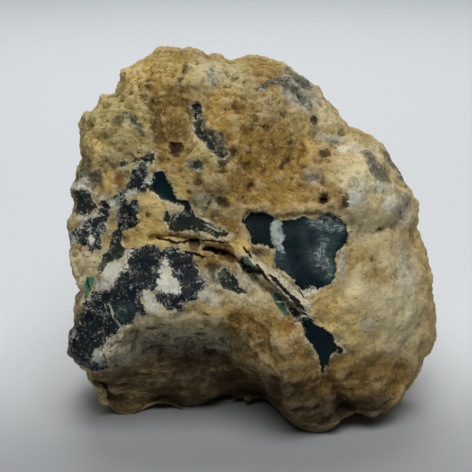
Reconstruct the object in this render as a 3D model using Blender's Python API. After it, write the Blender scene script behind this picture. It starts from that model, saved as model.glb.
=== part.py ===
"""A hand-sized lump of raw bacan stone: a tan, porous host rock with flat patches and seams of chalcedony.

It is one natural piece, so it is one object, `stone`. The rock is shaped square on to its broad face, in
millimetres: u runs to the right, v up the face, and w out of it. The face then leans back, and the rock
stands on the floor at Z = 0.
Run it with: blender --background --python part.py
"""

import math
from collections import namedtuple

import bmesh
import bpy
import numpy as np
from mathutils import noise

MM = 0.001

# Driving dimensions, in millimetres.
FACE_LEAN = math.radians(18)  # how far the broad face leans back from upright
TAPER_DISTANCE = 260.0  # the rock narrows toward its face as if to a point this far in front
FACE_DEPTH = 20.0  # from the plane of the widest outline to the crown of the face
BACK_DEPTH = 30.0  # and to the crown of the back
RIM_ZONE = 0.35  # share of the profile, next to the widest outline, over which the relief dies away
FLOOR_DROP = 32.6  # from the middle of the face's plane down to the floor

# The widest outline, anticlockwise from the right, as (u, v).
OUTLINE = (
    (35.0, -11.5), (34.0, -6.0), (32.0, 2.0), (31.5, 7.5), (29.5, 10.5), (27.0, 14.0), (26.0, 16.5),
    (22.0, 19.5), (18.5, 21.5), (13.5, 27.5), (10.5, 30.5), (6.0, 33.5), (2.5, 35.0), (-1.0, 35.0),
    (-4.0, 34.5), (-6.0, 35.5), (-8.0, 35.0), (-10.0, 36.0), (-12.0, 36.0), (-13.0, 35.0), (-17.0, 36.0),
    (-20.5, 34.5), (-24.5, 32.5), (-25.5, 27.5), (-28.5, 27.5), (-30.5, 25.0), (-32.0, 23.5), (-32.0, 15.5),
    (-33.0, 13.0), (-34.5, 9.5), (-33.5, 7.5), (-34.5, 1.0), (-34.5, -4.5), (-32.0, -9.5), (-33.5, -16.5),
    (-35.0, -21.5), (-31.0, -24.5), (-30.0, -27.5), (-28.5, -29.0), (-28.5, -31.0), (-27.0, -32.0),
    (-25.0, -34.0), (-22.0, -33.5), (-18.5, -32.0), (-14.5, -32.5), (-11.5, -33.0), (-7.0, -32.5),
    (-2.0, -31.5), (2.5, -31.5), (5.0, -33.0), (7.0, -34.5), (9.5, -36.0), (14.0, -37.0), (16.5, -36.0),
    (18.5, -34.0), (20.5, -33.5), (23.5, -34.5), (26.5, -33.0), (28.5, -30.5), (31.5, -26.5), (34.5, -20.0),
)  # fmt: skip

# By bearing in degrees from u: how far the widest outline itself stands forward (+) or back (-) ...
RIM_DEPTH = (
    (0, -4.0), (45, -6.0), (90, -8.0), (125, -3.0), (150, 3.0), (180, 8.0), (207, 10.0),
    (218, 6.0), (232, -1.0), (260, -6.0), (275, -4.0), (290, 7.0), (305, 4.0), (330, 0.0),
)  # fmt: skip
# ... and the exponents of the two profiles: 2 is an ellipse, more is flatter with a tighter rim.
FACE_FULLNESS = ((0, 2.2), (60, 2.4), (100, 2.5), (150, 3.0), (190, 3.6), (225, 3.0), (270, 2.4), (310, 2.4))
BACK_FULLNESS = ((0, 2.4), (90, 2.1), (180, 2.6), (230, 3.6), (270, 4.2), (310, 3.6))

# Relief is built up from strokes. Each stands out by `rise`, or is sunk where that is negative.
Swell = namedtuple("Swell", "name at size turn rise")  # an elliptical lump or hollow
Step = namedtuple("Step", "name outline wall rise")  # an area with walls of that width
Furrow = namedtuple("Furrow", "name path width rise")  # a long ridge or groove
Pit = namedtuple("Pit", "at radius depth")
Facet = namedtuple("Facet", "bearing tilt reach")  # a flat break: how its normal points, and its distance out

FACE_SWELLS = (
    Swell("upper left mass", (-24.3, 22.5), (7.5, 9.0), 10, 3.0),
    Swell("crown lump", (-13.0, 32.0), (8.0, 4.5), 10, 2.0),
    Swell("crown saddle", (-3.0, 31.0), (5.0, 5.0), 0, -2.0),
    Swell("right crown", (5.5, 29.0), (7.0, 4.5), -25, 1.8),
    Swell("brown hollow", (-13.5, 22.0), (4.5, 9.0), 0, -2.0),
    Swell("middle mass", (-6.6, 12.5), (7.0, 7.0), 0, 2.0),
    Swell("ochre bowl", (6.5, 16.5), (11.0, 9.5), 25, -5.0),
    Swell("pale block", (22.0, 11.4), (8.0, 8.5), 0, 4.5),
    Swell("block shoulder", (14.5, 22.0), (5.0, 4.0), -40, 1.6),
    Swell("right lobe", (25.0, -11.5), (9.5, 14.0), 0, 3.0),
    Swell("lower middle lobe", (8.0, -22.8), (10.0, 9.0), 0, 5.0),
    Swell("lower right lobe", (24.0, -29.0), (6.0, 6.0), 0, 2.0),
    Swell("apron", (-17.0, -11.0), (16.0, 7.5), 0, 4.0),
    Swell("left flat", (-24.0, 2.0), (9.0, 7.0), 0, -1.5),
    Swell("left under-lobe", (-24.0, -21.5), (5.0, 4.0), 20, 4.0),
    Swell("rear under-lobe", (-10.5, -27.5), (7.0, 4.0), 0, 3.0),
)
FACE_STEPS = (
    Step(
        "undercut",
        (
            (-36.0, -25.0), (-30.0, -25.0), (-27.0, -24.0), (-24.5, -21.5), (-21.5, -18.0),
            (-17.0, -16.5), (-9.5, -17.0), (-4.5, -18.5), (-1.5, -21.5), (1.5, -26.0),
            (4.0, -30.0), (5.0, -36.0), (-36.0, -40.0),
        ),
        5.0,
        -11.0,
    ),
    Step(
        "chalcedony window",
        (
            (-2.5, 5.0), (-0.5, 6.0), (1.5, 5.5), (3.5, 5.0), (9.5, 5.0), (13.0, 6.0), (15.0, 5.5),
            (18.5, 2.5), (18.0, -0.5), (16.0, -5.5), (16.0, -8.5), (14.0, -10.0), (11.5, -11.5),
            (9.0, -11.0), (5.0, -6.0), (4.0, -3.5), (0.0, -1.0), (-1.5, 1.0),
        ),
        0.9,
        -1.3,
    ),
)  # fmt: skip
FACE_FURROWS = (
    Furrow("diagonal crack", ((-5.5, -2.5), (-2.0, -4.0), (1.0, -7.5), (5.0, -10.5), (10.5, -15.5)), 1, -2.5),
    Furrow("splinter", ((-2.5, -3.0), (2.5, -6.0), (6.5, -10.0), (9.5, -13.0)), 0.9, 1.2),
    Furrow("dark crack", ((-19.0, 0.5), (-14.5, 1.0), (-11.0, 0.0), (-7.0, -1.0), (-4.0, -2.5)), 0.9, -2.0),
    Furrow("left crease", ((-18.5, 27.5), (-18.0, 22.0), (-16.5, 15.0)), 1.5, -1.5),
    Furrow("grey strip", ((-10.5, 25.0), (-10.0, 21.0), (-7.0, 17.5), (-5.0, 15.0)), 1.8, -1.2),
    Furrow("valley", ((19.5, 3.0), (19.0, -2.0), (17.0, -8.5), (14.5, -15.0)), 3.0, -1.5),
    Furrow("foot notch", ((15.0, -26.5), (17.0, -30.5), (18.5, -33.5)), 2.4, -2.5),
    Furrow("window lip", ((-5.5, 4.5), (-2.0, 6.5), (2.5, 6.5), (9.5, 6.0), (15.5, 7.0), (19.0, 5.5)), 1.2, 1),
    Furrow("block undercut", ((18.0, 1.5), (23.0, 1.0), (28.0, 3.5), (30.5, 6.5)), 2.4, -2.5),
)
FACE_PITS = (
    Pit((-14.0, 17.0), 1.2, 2.2), Pit((-5.5, 15.0), 1.0, 1.2), Pit((-10.0, 11.5), 0.8, 1.0),
    Pit((-5.5, 7.5), 1.0, 1.2), Pit((-0.5, 10.0), 0.8, 0.8), Pit((12.5, 23.0), 0.9, 1.0),
    Pit((14.0, 7.5), 1.0, 1.4), Pit((-10.5, -0.5), 1.6, 1.5),
)  # fmt: skip
FACE_FACETS = (
    Facet(200, 8, 19.0),
    Facet(85, 27, 22.0),
    Facet(15, 36, 26.0),
    Facet(305, 34, 27.0),
)

BACK_SWELLS = (
    Swell("back shoulder", (12.0, 12.0), (12.0, 9.0), 30, 3.5),
    Swell("back hollow", (-11.0, 7.0), (9.0, 7.0), -20, -4.0),
    Swell("back knob", (-20.0, -8.0), (8.0, 7.0), 0, 3.0),
    Swell("back dent", (13.0, -10.0), (8.0, 8.0), 0, -3.0),
    Swell("back ledge", (-2.0, -20.0), (14.0, 5.0), 10, 2.5),
)
BACK_FACETS = (
    Facet(75, 40, 30.0),
    Facet(160, 38, 29.0),
    Facet(340, 42, 31.0),
    Facet(235, 18, 29.5),
)
FACET_ROUNDING = 1.2

# Rough texture: (size of the largest lumps, height).
ROUGHNESS = ((9.0, 1.1), (4.0, 0.45))

# The feet, as (x, y) on the floor and the radius of each. Between them the sole arches off the floor.
FEET = ((12.5, -13.5, 5.0), (-24.0, -5.5, 4.5), (-11.0, -4.5, 4.0), (-12.0, 11.0, 5.5), (11.0, 12.0, 6.0))
FOOT_TREAD = 0.7  # how far the middle of a foot reaches below the sole before it is worn
SOLE_ARCH = 1.6
SOLE_BLEND = 6.0  # height above the floor at which the arch has died away
EDGE_WEAR = 2.4  # height to which the sole's edge is rounded
EDGE_WEAR_PASSES = 12
FOOT_WEAR = 0.4  # how much of each foot is worn to a flat

SPHERE_LEVEL = 7
TRIANGLES = 9600
STONE_COLOUR = (0.42, 0.29, 0.15, 1.0)


def smooth(t):
    """0 below 0, 1 above 1, and an S-curve between."""
    t = np.clip(t, 0.0, 1.0)
    return t * t * (3.0 - 2.0 * t)


def path_distance(points, u, v):
    """Distance from each (u, v) to the open path through the points."""
    best = np.full(u.shape, np.inf)
    for (u0, v0), (u1, v1) in zip(points, points[1:]):
        du, dv = u1 - u0, v1 - v0
        t = np.clip(((u - u0) * du + (v - v0) * dv) / (du * du + dv * dv), 0.0, 1.0)
        best = np.minimum(best, np.hypot(u - u0 - t * du, v - v0 - t * dv))
    return best


def area_distance(points, u, v):
    """Distance from each (u, v) to the edge of the area that the points bound: negative inside."""
    inside = np.zeros(u.shape, bool)
    closed = (*points, points[0])
    for (u0, v0), (u1, v1) in zip(closed, closed[1:]):
        if v0 != v1:
            crossing = (v0 > v) != (v1 > v)
            inside ^= crossing & (u < u0 + (v - v0) * (u1 - u0) / (v1 - v0))
    return np.where(inside, -1.0, 1.0) * path_distance(closed, u, v)


def swell(u, v, s):
    """Height that one swell adds at each (u, v)."""
    a = math.radians(s.turn)
    du, dv = u - s.at[0], v - s.at[1]
    along = (du * math.cos(a) + dv * math.sin(a)) / s.size[0]
    across = (dv * math.cos(a) - du * math.sin(a)) / s.size[1]
    return s.rise * np.exp(-1.4 * (along * along + across * across))


def face_relief(u, v):
    """Height of everything that stands on, or is sunk in, the smooth dome of the face."""
    height = sum(swell(u, v, s) for s in FACE_SWELLS)
    for s in FACE_STEPS:
        height += s.rise * smooth(0.5 - area_distance(s.outline, u, v) / s.wall)
    for f in FACE_FURROWS:
        height += f.rise * smooth(1.0 - path_distance(f.path, u, v) / f.width)
    for p in FACE_PITS:
        height -= p.depth * smooth(1.3 - np.hypot(u - p.at[0], v - p.at[1]) / p.radius)
    return height


def back_relief(u, v):
    """The same for the back, where height is measured away from the face."""
    return sum(swell(u, v, s) for s in BACK_SWELLS)


def around(bearing, table):
    """Value at each bearing, in radians, from a table of (degrees, value) that closes on itself."""
    degrees, values = zip(*table)
    return np.interp(np.degrees(bearing), degrees, values, period=360)


def cut_facets(height, u, v, facets):
    """Height, in the direction of w, once every flat break has been taken off."""
    for f in facets:
        bearing, tilt = math.radians(f.bearing), math.radians(f.tilt)
        flat = (f.reach - math.sin(tilt) * (u * math.cos(bearing) + v * math.sin(bearing))) / math.cos(tilt)
        gap = height - flat
        height = height - 0.5 * (gap + np.sqrt(gap * gap + FACET_ROUNDING**2))
    return height


def shape_rock(sphere):
    """Takes points on the unit sphere to (u, v, w) on the rock's surface."""
    bearing = np.arctan2(sphere[:, 1], sphere[:, 0])
    radial = np.hypot(sphere[:, 0], sphere[:, 1])
    toward_face = sphere[:, 2]
    front = toward_face > 0

    reach_of = [(math.degrees(math.atan2(v, u)) % 360, math.hypot(u, v)) for u, v in OUTLINE]
    reach = around(bearing, sorted(reach_of))
    fullness = np.where(front, around(bearing, FACE_FULLNESS), around(bearing, BACK_FULLNESS))
    share = radial ** (2.0 / fullness)
    u, v = share * reach * np.cos(bearing), share * reach * np.sin(bearing)

    dome = np.abs(toward_face) ** (2.0 / fullness)
    free = smooth(np.abs(toward_face) / RIM_ZONE)
    rim = around(bearing, RIM_DEPTH) * share**2
    face, back = rim + dome * FACE_DEPTH, dome * BACK_DEPTH - rim
    face += free * (cut_facets(face, u, v, FACE_FACETS) - face + face_relief(u, v))
    back += free * (cut_facets(back, u, v, BACK_FACETS) - back + back_relief(u, v))
    w = np.where(front, face, -back)

    taper = 1.0 - w / TAPER_DISTANCE
    return np.column_stack((u * taper, v * taper, w))


def stand_up(uvw):
    """Leans the face back, so that (u, v, w) become x, y and z with z up from the floor."""
    u, v, w = uvw.T
    lean, rise = math.sin(FACE_LEAN), math.cos(FACE_LEAN)
    return np.column_stack((u, v * lean - w * rise, v * rise + w * lean + FLOOR_DROP))


def get_points(mesh):
    flat = np.empty(3 * len(mesh.vertices))
    mesh.vertices.foreach_get("co", flat)
    return flat.reshape(-1, 3)


def set_points(mesh, points):
    mesh.vertices.foreach_set("co", np.ascontiguousarray(points).ravel())
    mesh.update()


def roughen(mesh):
    """Pushes each vertex along its normal by noise of several sizes."""
    points = get_points(mesh)
    normals = np.empty(points.size)
    mesh.vertex_normals.foreach_get("vector", normals)
    push = np.zeros(len(points))
    for size, height in ROUGHNESS:
        push += [height * noise.fractal(place, 0.9, 2.1, 4) for place in points / size]
    push *= smooth(points[:, 2] / SOLE_BLEND + 0.15)
    set_points(mesh, points + normals.reshape(-1, 3) * push[:, None])


def cut_level(mesh, height):
    """Cuts the rock off level at a height and closes the cut."""
    bm = bmesh.new()
    bm.from_mesh(mesh)
    every = bm.verts[:] + bm.edges[:] + bm.faces[:]
    cut = bmesh.ops.bisect_plane(
        bm, geom=every, dist=1e-4, plane_co=(0, 0, height), plane_no=(0, 0, 1), clear_inner=True
    )
    rims = [e for e in cut["geom_cut"] if isinstance(e, bmesh.types.BMEdge)]
    bmesh.ops.holes_fill(bm, edges=rims, sides=0)
    bmesh.ops.triangulate(bm, faces=bm.faces[:])
    bm.to_mesh(mesh)
    bm.free()


def wear_sole(mesh):
    """Rounds the edge that the floor's cut has left all round the sole."""
    bm = bmesh.new()
    bm.from_mesh(mesh)
    low = [vertex for vertex in bm.verts if vertex.co.z < EDGE_WEAR]
    for _ in range(EDGE_WEAR_PASSES):
        bmesh.ops.smooth_vert(bm, verts=low, factor=0.5, use_axis_x=True, use_axis_y=True, use_axis_z=True)
    bm.to_mesh(mesh)
    bm.free()


def arch_sole(mesh):
    """Lifts the sole off the floor between the feet, and treads the feet down."""
    x, y, z = get_points(mesh).T
    foot = np.zeros(x.shape)
    for foot_x, foot_y, radius in FEET:
        foot = np.maximum(foot, np.exp(-((x - foot_x) ** 2 + (y - foot_y) ** 2) / radius**2))
    lift = SOLE_ARCH * (1.0 - foot) - FOOT_TREAD * foot
    z = z + lift * (1.0 - smooth(z / SOLE_BLEND))
    set_points(mesh, np.column_stack((x, y, z)))


def apply_modifier(obj, kind, **settings):
    modifier = obj.modifiers.new(kind.title(), kind)
    for name, value in settings.items():
        setattr(modifier, name, value)
    bpy.context.view_layer.objects.active = obj
    bpy.ops.object.modifier_apply(modifier=modifier.name)


def stone_material():
    material = bpy.data.materials.new("raw bacan stone")
    material.use_nodes = True
    shader = material.node_tree.nodes["Principled BSDF"]
    shader.inputs["Base Color"].default_value = STONE_COLOUR
    shader.inputs["Roughness"].default_value = 0.85
    return material


def main():
    for obj in list(bpy.data.objects):
        bpy.data.objects.remove(obj)

    mesh = bpy.data.meshes.new("stone")
    bm = bmesh.new()
    bmesh.ops.create_icosphere(bm, subdivisions=SPHERE_LEVEL, radius=1.0)
    bm.to_mesh(mesh)
    bm.free()
    stone = bpy.data.objects.new("stone", mesh)
    bpy.context.collection.objects.link(stone)

    set_points(mesh, stand_up(shape_rock(get_points(mesh))))
    cut_level(mesh, 0.0)
    apply_modifier(stone, "REMESH", mode="VOXEL", voxel_size=0.8)
    wear_sole(mesh)
    arch_sole(mesh)
    roughen(mesh)
    apply_modifier(stone, "TRIANGULATE")
    apply_modifier(stone, "DECIMATE", ratio=TRIANGLES / len(mesh.polygons))
    cut_level(mesh, FOOT_WEAR)

    points = get_points(mesh)
    middle = 0.5 * (points.min(axis=0) + points.max(axis=0))
    points = (points - (middle[0], middle[1], FOOT_WEAR)) * MM
    set_points(mesh, points)
    mesh.materials.append(stone_material())


main()
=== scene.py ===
"""Looks of a raw bacan stone: tan, porous host rock with patches and seams of blue-green chalcedony.

The rock is shaped square on to its broad face, in millimetres: u runs to the right, v up the face and w out
of it. Much the same strokes as in the solid give its form here on a finer mesh, and smaller relief follows.
The minerals of the face are outlined on a drawing grid laid over it, and those of the back in (u, v).
"""

import functools
import itertools
import math
from collections import namedtuple

import bmesh
import bpy
import numpy as np
from mathutils import Matrix, Vector, kdtree, noise


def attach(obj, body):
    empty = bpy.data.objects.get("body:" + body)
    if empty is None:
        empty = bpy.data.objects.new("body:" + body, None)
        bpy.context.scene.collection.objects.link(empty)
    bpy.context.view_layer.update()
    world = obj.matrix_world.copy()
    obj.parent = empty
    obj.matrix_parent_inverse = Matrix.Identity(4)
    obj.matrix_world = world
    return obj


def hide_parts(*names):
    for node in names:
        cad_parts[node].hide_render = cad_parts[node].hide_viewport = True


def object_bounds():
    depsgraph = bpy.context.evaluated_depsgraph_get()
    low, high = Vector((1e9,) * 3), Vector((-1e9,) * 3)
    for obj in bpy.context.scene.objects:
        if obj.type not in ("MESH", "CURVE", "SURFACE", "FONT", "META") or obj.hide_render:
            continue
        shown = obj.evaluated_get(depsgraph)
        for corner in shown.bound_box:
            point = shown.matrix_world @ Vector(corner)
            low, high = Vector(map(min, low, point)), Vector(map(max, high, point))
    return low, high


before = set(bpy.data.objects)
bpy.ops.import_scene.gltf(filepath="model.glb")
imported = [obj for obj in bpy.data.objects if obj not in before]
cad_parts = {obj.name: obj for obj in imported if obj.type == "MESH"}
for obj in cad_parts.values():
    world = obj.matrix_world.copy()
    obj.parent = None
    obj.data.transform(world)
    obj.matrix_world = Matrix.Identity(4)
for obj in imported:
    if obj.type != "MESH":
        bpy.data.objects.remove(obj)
CAD_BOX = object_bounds()

bl_info = {
    "name": "Raw bacan stone",
    "version": (1, 0, 0),
    "blender": (4, 5, 0),
    "location": "3D View > Sidebar > Stone",
    "description": "Builds a lump of raw bacan stone, and the plain stage it stands on",
    "category": "Object",
}

MM = 0.001

# ---------------------------------------------------------------------------------------------------------
# The rock's form, much as in the solid
# ---------------------------------------------------------------------------------------------------------

# Driving dimensions, in millimetres.
FACE_LEAN = math.radians(18)  # how far the broad face leans back from upright
LEAN, RISE = math.sin(FACE_LEAN), math.cos(FACE_LEAN)
TAPER_DISTANCE = 260.0  # the rock narrows toward its face as if to a point this far in front
FACE_DEPTH = 20.0  # from the plane of the widest outline to the crown of the face
BACK_DEPTH = 30.0  # and to the crown of the back
RIM_ZONE = 0.35  # share of the profile, next to the widest outline, over which the relief dies away
FLOOR_DROP = 32.6  # from the middle of the face's plane down to the floor

# The widest outline, anticlockwise from the right, as (u, v).
OUTLINE = (
    (35.0, -11.5), (34.0, -6.0), (32.0, 2.0), (31.5, 7.5), (29.5, 10.5), (27.0, 14.0), (26.0, 16.5),
    (22.0, 19.5), (18.5, 21.5), (13.5, 27.5), (10.5, 30.5), (6.0, 33.5), (2.5, 35.0), (-1.0, 35.0),
    (-4.0, 34.5), (-6.0, 35.5), (-8.0, 35.0), (-10.0, 36.0), (-12.0, 36.0), (-13.0, 35.0), (-17.0, 36.0),
    (-20.5, 34.5), (-24.5, 32.5), (-25.5, 27.5), (-28.5, 27.5), (-30.5, 25.0), (-32.0, 23.5), (-32.0, 15.5),
    (-33.0, 13.0), (-34.5, 9.5), (-33.5, 7.5), (-34.5, 1.0), (-34.5, -4.5), (-32.0, -9.5), (-33.5, -16.5),
    (-35.0, -21.5), (-31.0, -24.5), (-30.0, -27.5), (-28.5, -29.0), (-28.5, -31.0), (-27.0, -32.0),
    (-25.0, -34.0), (-22.0, -33.5), (-18.5, -32.0), (-14.5, -32.5), (-11.5, -33.0), (-7.0, -32.5),
    (-2.0, -31.5), (2.5, -31.5), (5.0, -33.0), (7.0, -34.5), (9.5, -36.0), (14.0, -37.0), (16.5, -36.0),
    (18.5, -34.0), (20.5, -33.5), (23.5, -34.5), (26.5, -33.0), (28.5, -30.5), (31.5, -26.5), (34.5, -20.0),
)  # fmt: skip

# By bearing in degrees from u: how far the widest outline itself stands forward (+) or back (-) ...
RIM_DEPTH = (
    (0, -4.0), (45, -6.0), (90, -8.0), (125, -3.0), (150, 3.0), (180, 8.0), (207, 10.0),
    (218, 6.0), (232, -1.0), (260, -6.0), (275, -4.0), (290, 7.0), (305, 4.0), (330, 0.0),
)  # fmt: skip
# ... and the exponents of the two profiles: 2 is an ellipse, more is flatter with a tighter rim.
FACE_FULLNESS = ((0, 2.2), (60, 2.4), (100, 2.5), (150, 3.0), (190, 3.6), (225, 3.0), (270, 2.4), (310, 2.4))
BACK_FULLNESS = ((0, 2.4), (90, 2.1), (180, 2.6), (230, 3.6), (270, 4.2), (310, 3.6))

# Relief is built up from strokes. Each stands out by `rise`, or is sunk where that is negative.
Swell = namedtuple("Swell", "name at size turn rise")  # an elliptical lump or hollow
Step = namedtuple("Step", "name outline wall rise")  # an area with walls of that width
Furrow = namedtuple("Furrow", "name path width rise")  # a long ridge or groove
Pit = namedtuple("Pit", "at radius depth")
Facet = namedtuple("Facet", "bearing tilt reach")  # a flat break: how its normal points, and its distance out

FACE_SWELLS = (
    Swell("upper left mass", (-24.3, 22.5), (7.5, 9.0), 10, 3.0),
    Swell("crown lump", (-13.0, 32.0), (8.0, 4.5), 10, 2.0),
    Swell("crown saddle", (-3.0, 31.0), (5.0, 5.0), 0, -2.0),
    Swell("right crown", (5.5, 29.0), (7.0, 4.5), -25, 1.8),
    Swell("brown hollow", (-13.5, 22.0), (4.5, 9.0), 0, -2.0),
    Swell("middle mass", (-6.6, 12.5), (7.0, 7.0), 0, 2.0),
    Swell("ochre bowl", (6.5, 16.5), (11.0, 9.5), 25, -5.0),
    Swell("pale block", (22.0, 11.4), (8.0, 8.5), 0, 4.5),
    Swell("block shoulder", (14.5, 22.0), (5.0, 4.0), -40, 1.6),
    Swell("right lobe", (25.0, -11.5), (9.5, 14.0), 0, 3.0),
    Swell("lower middle lobe", (8.0, -22.8), (10.0, 9.0), 0, 5.0),
    Swell("lower right lobe", (24.0, -29.0), (6.0, 6.0), 0, 2.0),
    Swell("apron", (-17.0, -11.0), (16.0, 7.5), 0, 4.0),
    Swell("left flat", (-24.0, 2.0), (9.0, 7.0), 0, -1.5),
    Swell("left under-lobe", (-24.0, -21.5), (5.0, 4.0), 20, 4.0),
    Swell("rear under-lobe", (-10.5, -27.5), (7.0, 4.0), 0, 3.0),
)
FACE_STEPS = (
    Step(
        "undercut",
        (
            (-36.0, -25.0), (-30.0, -25.0), (-27.0, -24.0), (-24.5, -21.5), (-21.5, -18.0),
            (-17.0, -16.5), (-9.5, -17.0), (-4.5, -18.5), (-1.5, -21.5), (1.5, -26.0),
            (4.0, -30.0), (5.0, -36.0), (-36.0, -40.0),
        ),
        5.0,
        -11.0,
    ),
    Step(
        "chalcedony window",
        (
            (-1.2, 4.2), (-0.2, 5.5), (1.5, 5.5), (3.5, 4.8), (9.5, 4.8), (13.0, 5.6), (15.0, 5.2),
            (18.5, 2.5), (18.0, -0.5), (16.0, -5.5), (16.0, -8.5), (14.0, -10.0), (11.5, -11.5),
            (9.0, -11.0), (5.0, -6.0), (4.0, -3.5), (0.5, -1.0), (-0.8, 1.0),
        ),
        0.9,
        -1.3,
    ),
)  # fmt: skip
FACE_FURROWS = (
    Furrow("diagonal crack", ((-5.5, -2.5), (-2.0, -4.0), (1.0, -7.5), (5.0, -10.5), (10.5, -15.5)), 1, -2.5),
    Furrow("splinter", ((-2.5, -3.0), (2.5, -6.0), (6.5, -10.0), (9.5, -13.0)), 0.9, 1.2),
    Furrow("dark crack", ((-19.0, 0.5), (-14.5, 1.0), (-11.0, 0.0), (-7.0, -1.0), (-4.0, -2.5)), 0.9, -2.0),
    Furrow("left crease", ((-18.5, 27.5), (-18.0, 22.0), (-16.5, 15.0)), 1.5, -1.5),
    Furrow("grey strip", ((-10.5, 25.0), (-10.0, 21.0), (-7.0, 17.5), (-5.0, 15.0)), 1.8, -1.2),
    Furrow("valley", ((19.5, 3.0), (19.0, -2.0), (17.0, -8.5), (14.5, -15.0)), 3.0, -1.5),
    Furrow("foot notch", ((15.0, -26.5), (17.0, -30.5), (18.5, -33.5)), 2.4, -2.5),
    Furrow(
        "window lip", ((-5.5, 4.5), (-2.0, 6.5), (2.5, 6.5), (9.5, 6.0), (15.5, 7.0), (19.0, 5.5)), 1.2, 0.4
    ),
    Furrow("block undercut", ((22.5, 1.4), (25.0, 2.0), (28.0, 3.5), (30.5, 6.5)), 2.4, -2.5),
)
FACE_PITS = (
    Pit((-14.2, 17.2), 1.3, 1.4), Pit((-5.5, 15.0), 1.0, 1.2), Pit((-10.0, 11.5), 0.8, 1.0),
    Pit((-5.5, 7.5), 1.0, 1.2), Pit((-0.5, 10.0), 0.8, 0.8), Pit((12.5, 23.0), 0.9, 1.0),
    Pit((14.0, 7.5), 1.0, 1.4), Pit((-10.5, -0.5), 1.6, 1.5),
)  # fmt: skip
FACE_FACETS = (
    Facet(200, 8, 19.0),
    Facet(85, 27, 22.0),
    Facet(15, 36, 26.0),
    Facet(305, 34, 27.0),
)

BACK_SWELLS = (
    Swell("back shoulder", (12.0, 12.0), (12.0, 9.0), 30, 3.5),
    Swell("back hollow", (-11.0, 7.0), (9.0, 7.0), -20, -4.0),
    Swell("back knob", (-20.0, -8.0), (8.0, 7.0), 0, 3.0),
    Swell("back dent", (13.0, -10.0), (8.0, 8.0), 0, -3.0),
    Swell("back ledge", (-2.0, -20.0), (14.0, 5.0), 10, 2.5),
)
BACK_FACETS = (
    Facet(75, 40, 30.0),
    Facet(160, 38, 29.0),
    Facet(340, 42, 31.0),
    Facet(235, 18, 29.5),
)
FACET_ROUNDING = 1.2  # how softly the flat breaks meet the rest
SWELL_FALLOFF = 1.4  # how sharply a swell, or a stain, dies away
FACE_PIT_SLOPE = 1.3  # a pit of the face ends at that many of its radii

# Rough texture: (size of the largest lumps, height).
ROUGHNESS = ((9.0, 1.1), (4.0, 0.45))
ROUGH_NOISE = (0.9, 2.1, 4)  # how its smaller lumps lose height and size, and how many sizes there are
SOLE_ROUGHNESS = 0.15  # share of SOLE_BLEND by which the roughness begins below the floor

# The feet, as (x, y) on the floor and the radius of each. Between them the sole arches off the floor.
FEET = ((12.5, -13.5, 5.0), (-24.0, -5.5, 4.5), (-11.0, -4.5, 4.0), (-12.0, 11.0, 5.5), (11.0, 12.0, 6.0))
FOOT_TREAD = 0.7  # how far the middle of a foot reaches below the sole before it is worn
SOLE_ARCH = 1.6  # how far the sole is lifted between them
SOLE_BLEND = 6.0  # height above the floor at which the arch has died away
EDGE_WEAR = 2.4  # height to which the sole's edge is rounded
EDGE_WEAR_PASSES = 12
EDGE_WEAR_CELL = 0.8  # size of the mesh that those passes are meant for
EDGE_WEAR_SHARE = 0.5  # how far each pass draws a point to the middle of its neighbours
FOOT_WEAR = 0.4  # how much of each foot is worn to a flat
MIDDLE = (0.705, 3.128)  # the middle of the rock's own ground plan, which stands over the origin

SPHERE_LEVEL = 8  # how finely the ball is divided that the rock is shaped from
CUT_SNAP = 1e-4  # points this near to a level cut count as on it
SMALLEST_EDGE = 0.001
BOX_GAP = 0.01  # how far inside the solid's box the finished surface stays

# ---------------------------------------------------------------------------------------------------------
# Minerals and stains. Those of the face lie on a grid of 0.19 mm squares, x to the right and y down.
# ---------------------------------------------------------------------------------------------------------

GRID = 0.19
GRID_MIDDLE = (250.0, 240.0)  # the square at u = v = 0

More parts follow.
